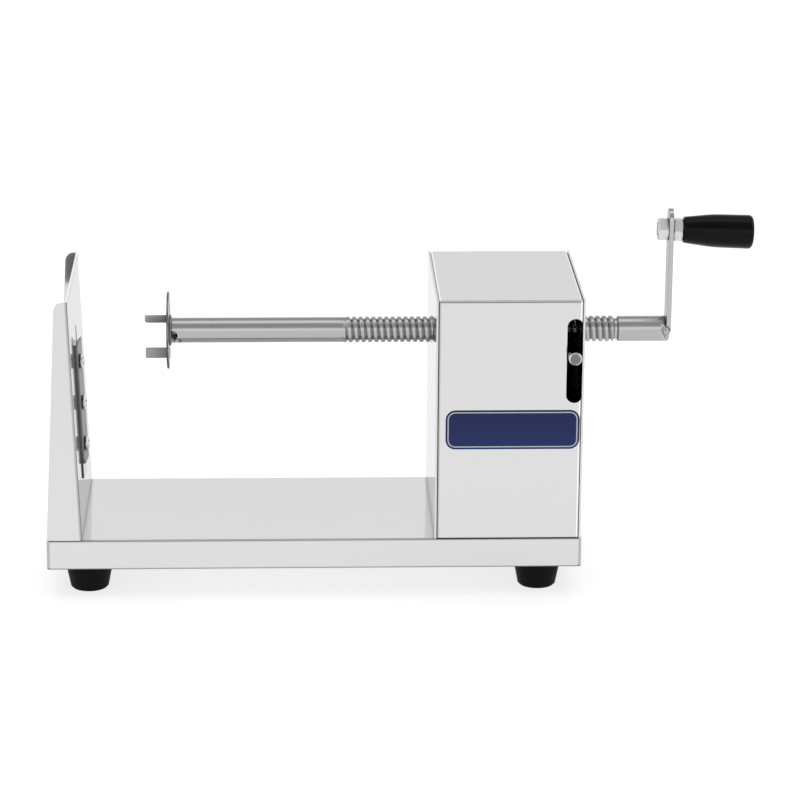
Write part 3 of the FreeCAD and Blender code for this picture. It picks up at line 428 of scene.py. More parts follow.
def folded_sheet(name, looks, shaded_edge_z=None, seams=1.0, edges=1.0, top_z=None, highlight_sides=False):
    """Polished sheet: faint streaks, a slight wave, and painted shade along its bends, hard edges and
    seams.

    Given a height for the lowest edge, painted shade darkens the sheet below it. Given a top height, the
    sheet's top face up there gets a painted highlight, with a margin of painted shade below it on the
    faces along x. When asked, the housing's bends towards either end along x get a painted highlight in
    place of their painted shade, apart from the upright ones at the left end.
    """
    finish = Finish(name)
    streaks = finish.noise(1500.0, (0.03, 0.03, 1.0), 3.0)
    patches = finish.noise(PATCH_SCALE)
    tone = (streaks - 0.5) * 0.05 + (patches - 0.5) * 0.06 + 0.5
    paint = finish.mix(tone, shade(looks.sheet, 0.9), shade(looks.sheet, 1.1))
    bends = bend_share(finish)
    rounded = finish.rounded(EDGE_ROUNDING)
    # Painted shade along the bends, in the seams and corners, and along the hard edges
    sheet_shade = bends * looks.bend_shade + crevice_share(finish, FOLD_REACH) * (seams * looks.seam_shade)
    sheet_shade = sheet_shade + finish.edge_share(rounded) * (edges * looks.edge_shade)
    # Painted shade along the lowest edge
    if shaded_edge_z is not None:
        height = along_axis(finish, finish.place(), "Z")
        sheet_shade = sheet_shade + ((shaded_edge_z - height) / SHADED_EDGE_REACH).bounded() * 0.85
    # Painted highlight on the housing's end bends, in place of their painted shade
    if highlight_sides:
        left = 1 - along_axis(finish, finish.place(), "X").over(HOUSING_MID_X)
        side = facing(finish, "X").over(0.12) * (1 - facing(finish, "Y").over(0.12) * left)
        sheet_shade = sheet_shade * (1 - side)
        paint = finish.mix(side, paint, shade(looks.sheet, 1.42))
    # Painted highlight on the top face, with a margin of painted shade below it
    if top_z is not None:
        margin = (along_axis(finish, finish.place(), "Z") - top_z) / SHADE_MARGIN_REACH + 1.0
        top = facing(finish, "Z").over(SQUARE) * margin.over(0.75)
        sheet_shade = (sheet_shade + margin.bounded() * facing(finish, "X").over(SQUARE) * 0.9) * (1 - top)
        paint = finish.mix(top, paint, shade(looks.sheet, 1.4))
    paint = finish.mix(sheet_shade, paint, shade(looks.sheet, 0.12))
    gloss = looks.sheet_roughness + (patches - 0.5) * 0.04 + bends * 0.14
    relief = streaks * 2e-7 + finish.noise(9.0, (1, 1, 1), 1.0) * 1.5e-5
    return finish.surface(paint, gloss, relief, 1.0, rounded, Metallic=1.0, Specular_Tint=GRAZING_TINT)


def shade_edged_strip(looks):
    """The packing strip: bright on its faces and nearly black on its front and rear edges, a painted
    shade for the gap under the blade.
    """
    finish = Finish("packing_strip")
    edge = facing(finish, "Y").over(0.6)
    streaks = finish.noise(1200.0, (1, 1, 0.05), 3.0)
    edge_darkness = finish.mix(streaks, (0.07, 0.07, 0.07, 1), (0.16, 0.16, 0.16, 1))
    paint = finish.mix(edge, rgb(looks.sheet), edge_darkness)
    gloss = 0.12 + edge * 0.4
    return finish.surface(paint, gloss, streaks, 1e-6, Metallic=1.0, Specular_Tint=GRAZING_TINT)


def disc_painted_shades(finish):
    """Painted light on the stamped disc: full colour on its flat faces.

    Its prongs take painted shade that deepens from their tips to their bends and along their sheared
    edges;
    the upper ones are painted lighter.
    """
    low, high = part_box("prong_disc")
    along = (along_axis(finish, finish.place(), "X") - low.x) / (high.x - low.x)
    flat = facing(finish, "X").over(0.85) * along.over(0.5)
    upper = along_axis(finish, finish.place(), "Z").over(AXIS_Z)
    edge_darkness = finish.edge_share(finish.rounded(0.9 * MM))
    return flat + (1 - flat) * (0.43 - along * 0.27) * (1 + upper * 0.9) * (1 - edge_darkness * 0.7)


def rod_painted_shades(finish):
    """Painted light on the release rod: painted shade along its body, less on its end face, and a
    painted highlight on its chamfer.
    """
    square = facing(finish, "Y")
    face = square.over(0.92)
    chamfer = square.over(0.25) - face
    return face * 0.26 + chamfer + (1 - square.over(0.25)) * 0.12


def polymer(name, colour, roughness, specular, scale, relief, rounding=0.0):
    """Moulded rubber or plastic: a fine orange-peel skin with slow patches in tone and gloss."""
    finish = Finish(name)
    skin = finish.noise(scale, (1, 1, 1), 3.0)
    patches = finish.noise(60.0)
    paint = finish.mix(patches, shade(colour, 0.7), shade(colour, 1.3))
    gloss = roughness + (patches - 0.5) * roughness * 0.4
    normal = finish.rounded(rounding) if rounding else None
    return finish.surface(paint, gloss, skin, relief, normal, Specular_IOR_Level=specular)


def dress(nodes, material):
    """Give each CAD node a material of its own in its first slot."""
    for name in nodes:
        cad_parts[name].active_material = material


# ---------------------------------------------------------------- sizes and colours a user would change

class ThreadSizes(bpy.types.PropertyGroup):
    """The lead screw's cut thread."""

    pitch: bpy.props.FloatProperty(
        name="Pitch", description="Feed of the spindle in one turn", default=4 * MM, unit="LENGTH")
    depth: bpy.props.FloatProperty(
        name="Depth", description="From the crests down to the roots", default=1.5 * MM, unit="LENGTH")
    root_share: bpy.props.FloatProperty(
        name="Root share", description="Share of the pitch that is flat root", default=0.06,
        subtype="FACTOR")
    crest_share: bpy.props.FloatProperty(
        name="Crest share", description="Share of the pitch that is flat crest", default=0.38,
        subtype="FACTOR")


class SteelLooks(bpy.types.PropertyGroup):
    """Colours and gloss of the steels."""

    sheet: bpy.props.FloatVectorProperty(
        name="Sheet", description="Polished sheet of base, stand and housing", subtype="COLOR", size=3,
        default=(0.68, 0.68, 0.68), min=0, max=1)
    sheet_roughness: bpy.props.FloatProperty(
        name="Sheet roughness", description="How blurred the sheet's reflections are", default=0.09,
        subtype="FACTOR")
    bend_shade: bpy.props.FloatProperty(
        name="Bend shade", description="How much darker the sheet is along its bends", default=0.35,
        subtype="FACTOR")
    seam_shade: bpy.props.FloatProperty(
        name="Seam shade", description="How much darker the sheet is in its seams", default=0.45,
        subtype="FACTOR")
    edge_shade: bpy.props.FloatProperty(
        name="Edge shade", description="How much darker the sheet is along its hard edges", default=0.2,
        subtype="FACTOR")
    turned: bpy.props.FloatVectorProperty(
        name="Turned steel", description="Spindle, disc, arm and release rod", subtype="COLOR", size=3,
        default=(0.45, 0.45, 0.45), min=0, max=1)
    turned_roughness: bpy.props.FloatProperty(
        name="Turned roughness", description="How blurred the spindle's reflections are", default=0.22,
        subtype="FACTOR")


class LabelLooks(bpy.types.PropertyGroup):
    """The plain blue plate on the housing's front."""

    width: bpy.props.FloatProperty(
        name="Width", description="Along the housing", default=82 * MM, unit="LENGTH")
    height: bpy.props.FloatProperty(
        name="Height", description="Up the housing", default=25 * MM, unit="LENGTH")
    corner: bpy.props.FloatProperty(
        name="Corner", description="Radius of its corners", default=6 * MM, unit="LENGTH")
    blue: bpy.props.FloatVectorProperty(
        name="Blue", description="The plate's ground", subtype="COLOR", size=3,
        default=(0.004, 0.014, 0.09), min=0, max=1)
    lines: bpy.props.FloatVectorProperty(
        name="Lines", description="Keyline inside the edge", subtype="COLOR", size=3,
        default=(0.78, 0.80, 0.83), min=0, max=1)


class StudioLooks(bpy.types.PropertyGroup):
    """Light levels of the studio; 1 shows a white surface as white."""

    world: bpy.props.FloatProperty(
        name="World", description="Light from all round", default=0.55, min=0)
    sky: bpy.props.FloatProperty(
        name="Sky", description="How bright the sky is in reflections", default=1.16, min=0)
    softbox: bpy.props.FloatProperty(
        name="Softboxes", description="Brightness of the softboxes", default=1.3, min=0)
    grey_card: bpy.props.FloatProperty(
        name="Grey cards", description="Brightness of the grey cards that metal reflects",
        default=0.5, min=0)
    white_card: bpy.props.FloatProperty(
        name="White cards", description="Brightness of the bright cards that metal reflects",
        default=1.35, min=0)
    floor_glow: bpy.props.FloatProperty(
        name="Floor glow", description="White that the floor shows by itself", default=0.75, min=0)
    floor_grey: bpy.props.FloatProperty(
        name="Floor grey", description="How much of the light the floor returns", default=0.35,
        min=0, max=1)


class CutterLooks(bpy.types.PropertyGroup):
    """Everything about the cutter that a user would change."""

    thread: bpy.props.PointerProperty(type=ThreadSizes, name="Thread", description="The lead screw")
    steel: bpy.props.PointerProperty(type=SteelLooks, name="Steel", description="Bare metal")
    label: bpy.props.PointerProperty(type=LabelLooks, name="Label", description="The blue plate")
    studio: bpy.props.PointerProperty(type=StudioLooks, name="Studio", description="Light")


# ---------------------------------------------------------------- finishes of the CAD nodes

FASTENER_NODES = (
    "foot_washers", "foot_nuts", "base_nuts", "blade_nuts", "half_nut_screws", "stud_nut",
    "handle_stud", "lever_pivot_pin", "pivot_sleeve", "spring_rivet", "snap_ring",
)
FOOT_NODES = ("foot_front_left", "foot_rear_left", "foot_front_right", "foot_rear_right")


class CUTTER_OT_sheet_metal(bpy.types.Operator):
    """Polish the folded sheet of the base, the blade stand and the housing"""

    bl_idname = "cutter.sheet_metal"
    bl_label = "Sheet metal"

    def execute(self, context):
        looks = context.scene.cutter.steel
        # Painted shade along bends, edges, seams and lowest edges; painted highlights on the stand's top
        # edge and the cover's end bends
        dress(("blade_stand",), folded_sheet("stand_sheet", looks, edges=2.6, top_z=STAND_TOP))
        dress(("housing_left_panel", "housing_right_panel"), folded_sheet(
            "panel_sheet", looks, seams=0.2))
        dress(("housing_cover",), folded_sheet(
            "cover_sheet", looks, HOUSING_LOW.z + 0.5 * MM, seams=0.45, highlight_sides=True))
        dress(("base_tray",), folded_sheet("tray_sheet", looks, TRAY_LOW.z + 0.9 * MM))
        return {"FINISHED"}


class CUTTER_OT_working_steel(bpy.types.Operator):
    """Finish the blade, the turned pieces, the flat bars and the fasteners"""

    bl_idname = "cutter.working_steel"
    bl_label = "Working steel"

    def execute(self, context):
        looks = context.scene.cutter.steel
        dress(("release_rod",), steel(
            "rod_steel", shade(looks.turned, 1.5), 0.22, (1, 0.04, 1), 6e-7, painted_shades=rod_painted_shades))
        # The ring's darker tone and its seams' darkening are painted shade for the gap behind the disc
        dress(("disc_joint_ring",), steel(
            "ring_steel", shade(looks.turned, 0.75), 0.35, (1, 1, 1), 6e-7, rounding=0.25 * MM,
            seams=0.9))
        # Painted shade along the arm's hard edges and in its seams
        dress(("crank_arm",), steel(
            "satin_bar", shade(looks.turned, 1.08), 0.24, (1, 1, 0.04), 6e-7, rounding=0.4 * MM,
            edges=0.85, seams=0.8))
        dress(("prong_disc",), steel(
            "stamped_disc", shade(looks.turned, 1.5), 0.3, (1, 0.3, 0.3), 1.5e-6, rounding=0.6 * MM,
            painted_shades=disc_painted_shades))
        dress(("blade",), steel(
            "ground_blade", (0.2, 0.2, 0.205), 0.3, (1, 0.03, 1), 1.2e-6, rounding=0.1 * MM))
        dress(("blade_packing",), shade_edged_strip(looks))
        # Painted shade along the fasteners' hard edges and in their seams
        dress(FASTENER_NODES, steel(
            "bright_fastener", (0.73, 0.73, 0.72), 0.45, (1, 1, 1), 8e-7, rounding=0.4 * MM, edges=0.35,
            seams=0.95))
        # Near-black paint on the bracket and lever inside the housing is painted shade, so the slot
        # looks dark
        dress(("bearing_bracket", "release_lever"), steel(
            "shade_black_steel", (0.012, 0.012, 0.012), 0.45, (1, 0.05, 1), 1e-6, rounding=0.2 * MM))
        dress(("return_spring",), steel(
            "blued_spring", (0.12, 0.13, 0.17), 0.3, (1, 0.05, 1), 6e-7))
        return {"FINISHED"}


class CUTTER_OT_soft_pieces(bpy.types.Operator):
    """Finish the bronze, the nylon, the rubber feet and the grip"""

    bl_idname = "cutter.soft_pieces"
    bl_label = "Bronze, nylon, rubber and grip"

    def execute(self, context):
        dress(("left_bush", "right_bush", "half_nut"), steel(
            "bearing_bronze", (0.52, 0.33, 0.14), 0.28, (0.05, 1, 1), 8e-7, rounding=0.2 * MM))
        dress(("pivot_washer",), polymer("white_nylon", (0.75, 0.74, 0.70), 0.4, 0.5, 900.0, 3e-6))
        dress(FOOT_NODES, polymer("black_rubber", (0.004, 0.004, 0.004), 0.6, 0.1, 1500.0, 1.5e-5))
        dress(("handle_grip",), polymer(
            "grip_plastic", (0.0015, 0.0015, 0.0015), 0.17, 0.12, 700.0, 4e-6, rounding=0.2 * MM))
        return {"FINISHED"}


# ---------------------------------------------------------------- new pieces

def thread_cut(x, angle, sizes):
    """How deep the thread is cut at x and angle, from 0 on a crest to 1 in a root.

    The phase is x over the pitch less the angle over a turn, which winds right-handed; away from the
    middle of a root the depth eases out to 0 where the flat crest begins. It fades in over the first
    pitch, and runs out into a turned relief groove at the end.
    """
    phase = x / sizes.pitch - angle / TURN
    from_root = np.abs(phase - np.round(phase))
    root = sizes.root_share / 2
    flank = 0.5 - sizes.crest_share / 2 - root
    cut = 1 - ease((from_root - root) / flank)
    fade_in = ease((x - THREAD_START) / sizes.pitch)
    relief = ease((x - (THREAD_END - RELIEF_WIDTH)) / (0.25 * sizes.pitch))
    return np.maximum(cut * fade_in, relief)


def root_shade(x, angle, sizes):
    """How much shade is painted on the spindle: 1 along the middle of the root, less round the shoulder.

    Either is e to the minus square of the distance over the line's width, where the distance is counted
    in phase from the root, or along x from the shoulder.
    """
    phase = x / sizes.pitch - angle / TURN
    from_root = (phase - np.round(phase)) / SHADE_LINE
    cut = (x > THREAD_START + 0.4 * sizes.pitch) & (x < THREAD_END - RELIEF_WIDTH)
    shoulder = SHOULDER_SHADE * np.exp(-((x - THREAD_END) / SHOULDER_REACH) ** 2)
    return np.maximum(np.exp(-from_root ** 2) * cut, shoulder)


def cross_hole_cut(x, angle):
    """How far the cross holes take the surface in, from 0 outside to 1 inside each hole's radius."""
    cut = np.zeros(np.broadcast(x, angle).shape)
    for hole_x, degrees, hole_r in CROSS_HOLES:
        turn = angle - math.radians(degrees)
        distance = np.hypot(x - hole_x, TUBE_R * np.sin(turn))
        inside = ease((hole_r - distance) / CROSS_HOLE_ROUNDING + 0.5) * (np.cos(turn) > 0)
        cut = np.maximum(cut, inside)
    return cut


def spindle_angles():
    """Angles round the spindle, closer together where the cross holes are drilled."""
    first = math.radians(CROSS_HOLES[0][1] - CROSS_HOLE_MARGIN)
    last = math.radians(CROSS_HOLES[1][1] + CROSS_HOLE_MARGIN)
    return np.concatenate([
        np.linspace(first, last, HOLE_COLUMNS, endpoint=False),
        np.linspace(last, first + TURN, OTHER_COLUMNS, endpoint=False),
    ])


def spindle_profile(sizes):
    """Rows of (x, radius): those from the bore round the front to the crank end, and the half-lap's."""
    length = SPINDLE_HIGH.x - SPINDLE_LOW.x
    edge = 0.3 * MM
    bore = [(BORE_SEEN, BORE_R), (edge, BORE_R), (0, BORE_R + edge), (0, TUBE_R - edge)]
    tube = [(edge, TUBE_R)] + [(x, TUBE_R) for x in steps(edge * 2, 10 * MM, 0.2 * MM)]
    tube += [(x, TUBE_R) for x in steps(10 * MM, THREAD_START, 8 * MM)]
    rise = 0.6 * MM
    thread = []
    for x in steps(THREAD_START, THREAD_END - edge, sizes.pitch / 16):
        swell = ease((x - THREAD_START) / rise)
        thread.append((x, TUBE_R + (THREAD_R - TUBE_R) * swell))
    shoulder = [(THREAD_END - edge / 2, THREAD_R)]
    chamfer = 0.35 * MM
    end = [(THREAD_END, CRANK_END_R - chamfer), (THREAD_END + chamfer, CRANK_END_R)]
    end += [(x, CRANK_END_R) for x in steps(THREAD_END + 1 * MM, length - LAP_DEPTH, 5 * MM)]
    end += [(length - LAP_DEPTH, CRANK_END_R)]
    lap = [(length - LAP_DEPTH, CRANK_END_R)]
    for angle in np.linspace(0, math.pi / 2, 8):
        x = length - RIM_R + RIM_R * math.sin(angle)
        lap.append((x, CRANK_END_R - RIM_R + RIM_R * math.cos(angle)))
    return np.array(bore + tube + thread + shoulder + end), np.array(lap)


def spindle_surface(sizes):
    """The spindle as one closed sleeve, and its marks: above 0 where burnished, below 0 where shade is
    painted.

    Each ring's radius is the profile's, less the thread's cut times its depth in the threaded length,
    less the cross holes near the front. Rings past the half-lap are flattened on the axis, where the
    arm sits.
    """
    shaft, lap = spindle_profile(sizes)
    profile = np.concatenate([shaft, lap])
    angle = spindle_angles()[None, :]
    x = profile[:, :1]
    radius = np.repeat(profile[:, 1:], angle.shape[1], axis=1)
    threaded = (x >= THREAD_START) & (x < THREAD_END - 0.1 * MM)
    radius = radius - sizes.depth * thread_cut(x, angle, sizes) * threaded
    outside = np.arange(len(profile))[:, None] >= BORE_ROWS
    holes = cross_hole_cut(x, angle) * outside * (x < FRONT_LENGTH)
    radius = radius - CROSS_HOLE_DEPTH * holes
    grid = about_spindle(SPINDLE_LOW.x + x, radius, angle)
    grid[len(shaft):, :, 2] = np.minimum(grid[len(shaft):, :, 2], AXIS_Z)
    burnish = BURNISH * thread_cut(x, angle, sizes) * threaded * (x < THREAD_END - RELIEF_WIDTH)
    # Painted shade in the thread's roots, in the cross holes and at the shoulder
    shade_marks = np.maximum(holes * HOLE_SHADE, root_shade(x, angle, sizes))
    return grid, burnish - ROOT_SHADE * shade_marks


class CUTTER_OT_spindle(bpy.types.Operator):
    """Cut the spindle with its real thread, relief groove, cross holes and half-lap"""

    bl_idname = "cutter.spindle"
    bl_label = "Threaded spindle"

    def execute(self, context):
        looks = context.scene.cutter
        grid, burnish_and_shade = spindle_surface(looks.thread)
        points, faces = join_sleeves([(close_sleeve(grid), grid.shape, False)])
        spindle = make_piece("threaded_spindle", points, faces, "crank", "turned_steel")
        marks = spindle.data.attributes.new("burnish_and_shade", "FLOAT", "POINT")
        marks.data.foreach_set("value", np.append(burnish_and_shade.ravel(), (0, 0)).astype(np.float32))
        # The marks brighten the burnished cut and paint shade into the thread's roots, the cross holes
        # and the shoulder
        spindle.active_material = steel(
            "drawn_bar", looks.steel.turned, looks.steel.turned_roughness, (0.03, 1, 1), 5e-7,
            streak_scale=1100.0, worn_and_shaded=True)
        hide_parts("spindle")
        return {"FINISHED"}


class Screw:
    """Sizes of one pan-head M5 screw, whose head's height and length are given in millimetres.

    Rim, dome and recess have shares of the head's height, and the thread one of the shank's radius.
    """

    head_r = 9.5 * MM / 2
    shank_r = 5 * MM / 2
    pitch = 0.8 * MM
    rim_share = 0.34
    dome_share = 0.66
    dome_power = 2.4
    recess_share = 0.5
    thread_share = 0.14

    def __init__(self, head_height, length):
        self.head_height = head_height * MM
        self.length = length * MM


def cross_recess(radius, angle, head_r):
    """Share of the recess's depth: two crossed slots that slope out a little inside the head's rim."""
    reach = 0.62 * head_r
    slot = 0.12 * head_r
    soft = 0.07 * head_r
    cut = np.zeros(np.broadcast(radius, angle).shape)
    for turn in (0, math.pi / 2):
        across = np.abs(radius * np.sin(angle - turn))
        along = np.abs(radius * np.cos(angle - turn))
        inside = ease((slot - across) / soft + 0.5) * ease((reach - along) / (3 * soft) + 0.5)
        cut = np.maximum(cut, inside)
    return cut


def screw_grid(screw, turn):
    """A screw as a closed sleeve along z: its seat at 0, its head above, its shank below.

    The head is a dome whose height falls with a power of the radius to a short upright rim, less the
    cross recess. The shank's radius dips by the thread's depth as the phase, z over the pitch less the
    angle over a turn, passes through a root.
    """
    angle = np.linspace(0, TURN, 56, endpoint=False)[None, :]
    share = np.linspace(0.04, 1, 26)[:, None]
    crown = screw.dome_share * screw.head_height
    top = screw.head_height * screw.rim_share + crown * (1 - share ** screw.dome_power)
    recess = cross_recess(share * screw.head_r, angle - turn, screw.head_r)
    recess = screw.recess_share * screw.head_height * recess
    head = np.broadcast_to(share * screw.head_r, recess.shape), top - recess
    rim = np.array([0.3, 0.12, 0.03, 0.0, 0.0])[:, None] * screw.head_height
    rim_r = np.array([1.0, 1.0, 0.985, 0.95, 0.6])[:, None] * screw.head_r
    depth = -steps(0.05 * MM, screw.length - 0.05 * MM, screw.pitch / 9)[:, None]
    phase = depth / screw.pitch - angle / TURN
    root = 1 - ease(np.abs(phase - np.round(phase)) / 0.42)
    thread = ease(np.minimum(-depth, screw.length + depth) / screw.pitch)
    shank_r = screw.shank_r - screw.thread_share * screw.shank_r * root * thread
    tip_r = np.array([[0.97], [0.8], [0.5]]) * screw.shank_r * (1 - screw.thread_share)
    tip = np.full((3, 1), -screw.length)
    radii = [head[0], rim_r, shank_r, tip_r]
    heights = [head[1], rim, depth, tip]
    shape = (1, angle.shape[1])
    radius = np.concatenate([np.broadcast_to(part, (len(part), shape[1])) for part in radii])
    height = np.concatenate([np.broadcast_to(part, (len(part), shape[1])) for part in heights])
    return np.stack([radius * np.cos(angle), radius * np.sin(angle), height], axis=-1)


def set_screws(name, node, screw, places, outward):
    """Copies of one screw, each at its seat and with its turn; outward points out of the heads."""
    turn_to = np.array(Vector(outward).to_track_quat("Z", "Y").to_matrix())
    sleeves = []
    for seat, turn in places:
        grid = screw_grid(screw, turn)
        sleeves.append((close_sleeve(grid) @ turn_to.T + np.array(seat), grid.shape, True))
    piece = make_piece(name, *join_sleeves(sleeves), "frame", "fastener_steel")
    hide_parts(node)
    return piece


def machine_point(x, y, z):
    """A place given in the machine's own millimetres."""
    return MACHINE_ZERO + Vector((x, y, z)) * MM


class CUTTER_OT_screws(bpy.types.Operator):
    """Give the blade's, the base's and the feet's screws their domes, cross recesses and threads"""

    bl_idname = "cutter.screws"
    bl_label = "Screws"

    def execute(self, context):
        finish = steel("plated_screw", (0.7, 0.7, 0.69), 0.22, (1, 1, 1), 6e-7, streak_scale=2000.0)
        lean = Vector((math.cos(PLATE_LEAN), 0, math.sin(PLATE_LEAN)))
        up = Vector((-math.sin(PLATE_LEAN), 0, math.cos(PLATE_LEAN)))
        places = []
        for height, turn in zip(BLADE_SCREW_HEIGHTS, BLADE_SCREW_TURNS):
            offset = (lean * BLADE_SCREW_SEAT + up * height) * MM
            places.append((machine_point(PLATE_FOOT_X, BLADE_SCREW_Y, 0) + offset, turn))
        screw = Screw(BLADE_SCREW_HEAD, BLADE_SCREW_SEAT + BLADE_SCREW_REACH)
        set_screws("blade_screw_set", "blade_screws", screw, places, lean).active_material = finish
        for name, node, rows_x, rows_y, seat_z, length, way in SCREW_SETS:
            places = [(machine_point(x, y, seat_z), x + way * y) for x in rows_x for y in rows_y]
            screw = Screw(OTHER_SCREW_HEAD, length)
            set_screws(name, node, screw, places, (0, 0, -1)).active_material = finish
        return {"FINISHED"}


def bead_grid(side):
    """One weld bead: a flattened half ball over the arm's edge and the shaft whose skin swirls.

    Its radius swells by a spiral wave, the cosine of the angle from its crown times the ripple's phase,
    less the angle round it.
    """
    foot = np.array((ARM_LOW.x - 0.7 * MM, AXIS_Y + side * (CRANK_END_R - 1.5 * MM), AXIS_Z + 0.3 * MM))
    polar = np.linspace(0.03, 0.6 * math.pi, 40)[:, None]
    angle = np.linspace(0, TURN, 72, endpoint=False)[None, :]
    ripple = RIPPLE_SHARE * np.cos(polar * RIPPLE_PHASE - angle) * np.sin(polar) ** 0.5
    out = BEAD_OUT * (np.cos(polar) + ripple)
    round_x = BEAD_HALF_X * np.sin(polar) * np.cos(angle)
    round_z = BEAD_HALF_Z * np.sin(polar) * np.sin(angle)
    out, round_x, round_z = np.broadcast_arrays(out, round_x, round_z)
    return foot + np.stack([round_x, side * out, round_z], axis=-1)


class CUTTER_OT_welds(bpy.types.Operator):
    """Lay the two weld beads that hold the arm in the spindle's half-lap"""

    bl_idname = "cutter.welds"
    bl_label = "Weld beads"

    def execute(self, context):
        sleeves = []
        for side in (-1, 1):
            grid = bead_grid(side)
            sleeves.append((close_sleeve(grid), grid.shape, side < 0))
        beads = make_piece("weld_beads", *join_sleeves(sleeves), "crank", "turned_steel")
        # Painted shade in the beads' seams with the arm and the shaft
        beads.active_material = steel(
            "weld_metal", (0.44, 0.44, 0.44), 0.24, (1, 1, 1), 2e-6, variation=0.2, seams=1.0)
        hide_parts("crank_welds")
        return {"FINISHED"}


def rounded_box_distance(finish, half_x, half_z, corner, centre):
    """Signed distance to a rounded rectangle's edge in the x-z plane, negative inside.

    With q the distances past the corner circles' centre lines, it is the length of q's positive part
    plus the larger of q's parts where that is negative, less the corner radius.
    """
    offset = finish.place() - centre
    parts = offset.join("ABSOLUTE") - (half_x - corner, 0, half_z - corner)
    outer = parts.join("MAXIMUM", (0, -1, 0)) * (1, 0, 1)
    length = finish.add("ShaderNodeVectorMath", {"operation": "LENGTH"}, {0: outer}, out="Value")
    larger = along_axis(finish, parts, "X").join("MAXIMUM", along_axis(finish, parts, "Z"))
    return length + larger.join("MINIMUM", 0.0) - corner


def label_material(looks, centre):
    """Gloss vinyl: blue ground, deeper towards the top, and a pale keyline inside the edge."""
    finish = Finish("label_vinyl")
    half_x = looks.width / 2
    half_z = looks.height / 2
    edge = rounded_box_distance(finish, half_x, half_z, looks.corner, centre)
    keyline = (edge + 1.9 * MM).over(0.0) - (edge + 1.2 * MM).over(0.0)
    height = along_axis(finish, finish.place() - centre, "Z") / looks.height + 0.5
    ground = finish.mix(height, shade(looks.blue, 2.0), rgb(looks.blue))
    speckle = finish.noise(2500.0) - 0.5
    tone = finish.mix(keyline.bounded(), ground, rgb(looks.lines))
    return finish.surface(tone, 0.25 + speckle * 0.1, speckle, 2e-6, Specular_IOR_Level=0.3)


def label_grid(looks, centre, thickness):
    """A thin plate with rounded corners: rings shrink from its lip to its middle.

    The outline is a rounded rectangle walked at an even angle round each corner; every ring is the
    outline moved inwards, and the outer two rings drop to the housing's surface.
    """
    quarter = np.linspace(0, math.pi / 2, 9)
    angle = np.concatenate([quarter + k * math.pi / 2 for k in range(4)])
    side_x = np.repeat([1, -1, -1, 1], 9) * (looks.width / 2 - looks.corner)
    side_z = np.repeat([1, 1, -1, -1], 9) * (looks.height / 2 - looks.corner)
    inset = np.array([0.0, 0.0, 0.08, 0.3, 3.0, 5.9])[:, None] * MM
    proud = np.array([0.0, 0.6, 1.0, 1.0, 1.0, 1.0])[:, None] * thickness
    radius = looks.corner - inset
    x = centre[0] + side_x + radius * np.cos(angle)
    z = centre[2] + side_z + radius * np.sin(angle)
    y = np.broadcast_to(centre[1] - proud, x.shape)
    return np.stack([x, y, z], axis=-1)


class CUTTER_OT_label(bpy.types.Operator):
    """Lay the plain blue plate on the housing's front"""

    bl_idname = "cutter.label"
    bl_label = "Blue plate"

    def execute(self, context):
        looks = context.scene.cutter.label
        centre = (HOUSING_MID_X + LABEL_OFFSET, HOUSING_LOW.y, TRAY_HIGH.z + LABEL_HEIGHT)
        grid = label_grid(looks, centre, LABEL_THICKNESS)
        points, faces = join_sleeves([(close_sleeve(grid), grid.shape, True)])
        label = make_piece("blue_label", points, faces, "frame", "stainless_sheet")
        label.active_material = label_material(looks, centre)
        return {"FINISHED"}


# ---------------------------------------------------------------- studio

# Fitted camera: its place in metres, its turns in degrees, its lens and sensor in millimetres
CAMERA_AT = (-0.07544, -1.9710, 0.7260)
CAMERA_HEADING = -2.198
CAMERA_DROP = 17.356
CAMERA_ROLL = 0.384
CAMERA_LENS = 148.5
CAMERA_SENSOR = 36.0

# Softboxes in metres: name, centre, target, width and height
SOFTBOXES = (
    ("front_softbox", (0, -2.6, 0.85), (0, 0, 0.15), 2.6, 1.1),
    ("top_softbox", (0, 0.95, 1.75), (0, 0.95, 0), 2.4, 2.8),
)

# Curved cards: name, lower and upper elevation, distance, which level they have and what share of it
CURVED_CARDS = (
    ("front_bright_card", 10, 25, 1.6, "white_card", 1.0),
    ("front_grey_card", 31, 79, 1.5, "grey_card", 1.0),
    ("top_bright_card", 84, 106, 1.5, "white_card", 1.0),
    ("rear_grey_card", 110, 152, 1.5, "grey_card", 1.1),
)

# In metres: how far the floor and the curved cards reach from the middle, and the gusset's flag
FLOOR_REACH = 9.0
CARD_REACH = 1.6
GUSSET_FLAG_X = (-0.2205, -0.2060)
GUSSET_FLAG_Y = -0.0535
GUSSET_FLAG_Z = (0.1368, 0.1600)


def card(name, points, material):
    """A sheet of the studio from a grid of points."""
    rows, columns = points.shape[:2]
    number = np.arange(rows * columns).reshape(rows, columns)
    quads = np.stack([number[:-1, :-1], number[:-1, 1:], number[1:, 1:], number[1:, :-1]], axis=-1)
    mesh = bpy.data.meshes.new(name)
    mesh.from_pydata(points.reshape(-1, 3).tolist(), [], quads.reshape(-1, 4).tolist())
    sheet = bpy.data.objects.new(name, mesh)
    bpy.context.scene.collection.objects.link(sheet)
    sheet.active_material = material
    return sheet


def seen_directly(graph):
    """1 for rays of the camera, of reflections and of clear materials, and 0 for the others."""
    seen = graph.light_path("Is Camera Ray") + graph.light_path("Is Glossy Ray")
    return (seen + graph.light_path("Is Transmission Ray")).bounded()


def floor_material(looks):
    """A grey that takes the shadow, with a white of its own that only shows when looked at."""
    floor = Finish("studio_floor")
    grey = floor.add("ShaderNodeBsdfDiffuse", {}, {"Color": (looks.floor_grey,) * 3 + (1,)})
    glow = floor.add("ShaderNodeEmission", {}, {"Strength": seen_directly(floor) * looks.floor_glow})
    both = floor.add("ShaderNodeAddShader", {}, {0: grey, 1: glow})
    floor.add("ShaderNodeOutputMaterial", {}, {"Surface": both})
    return floor.material


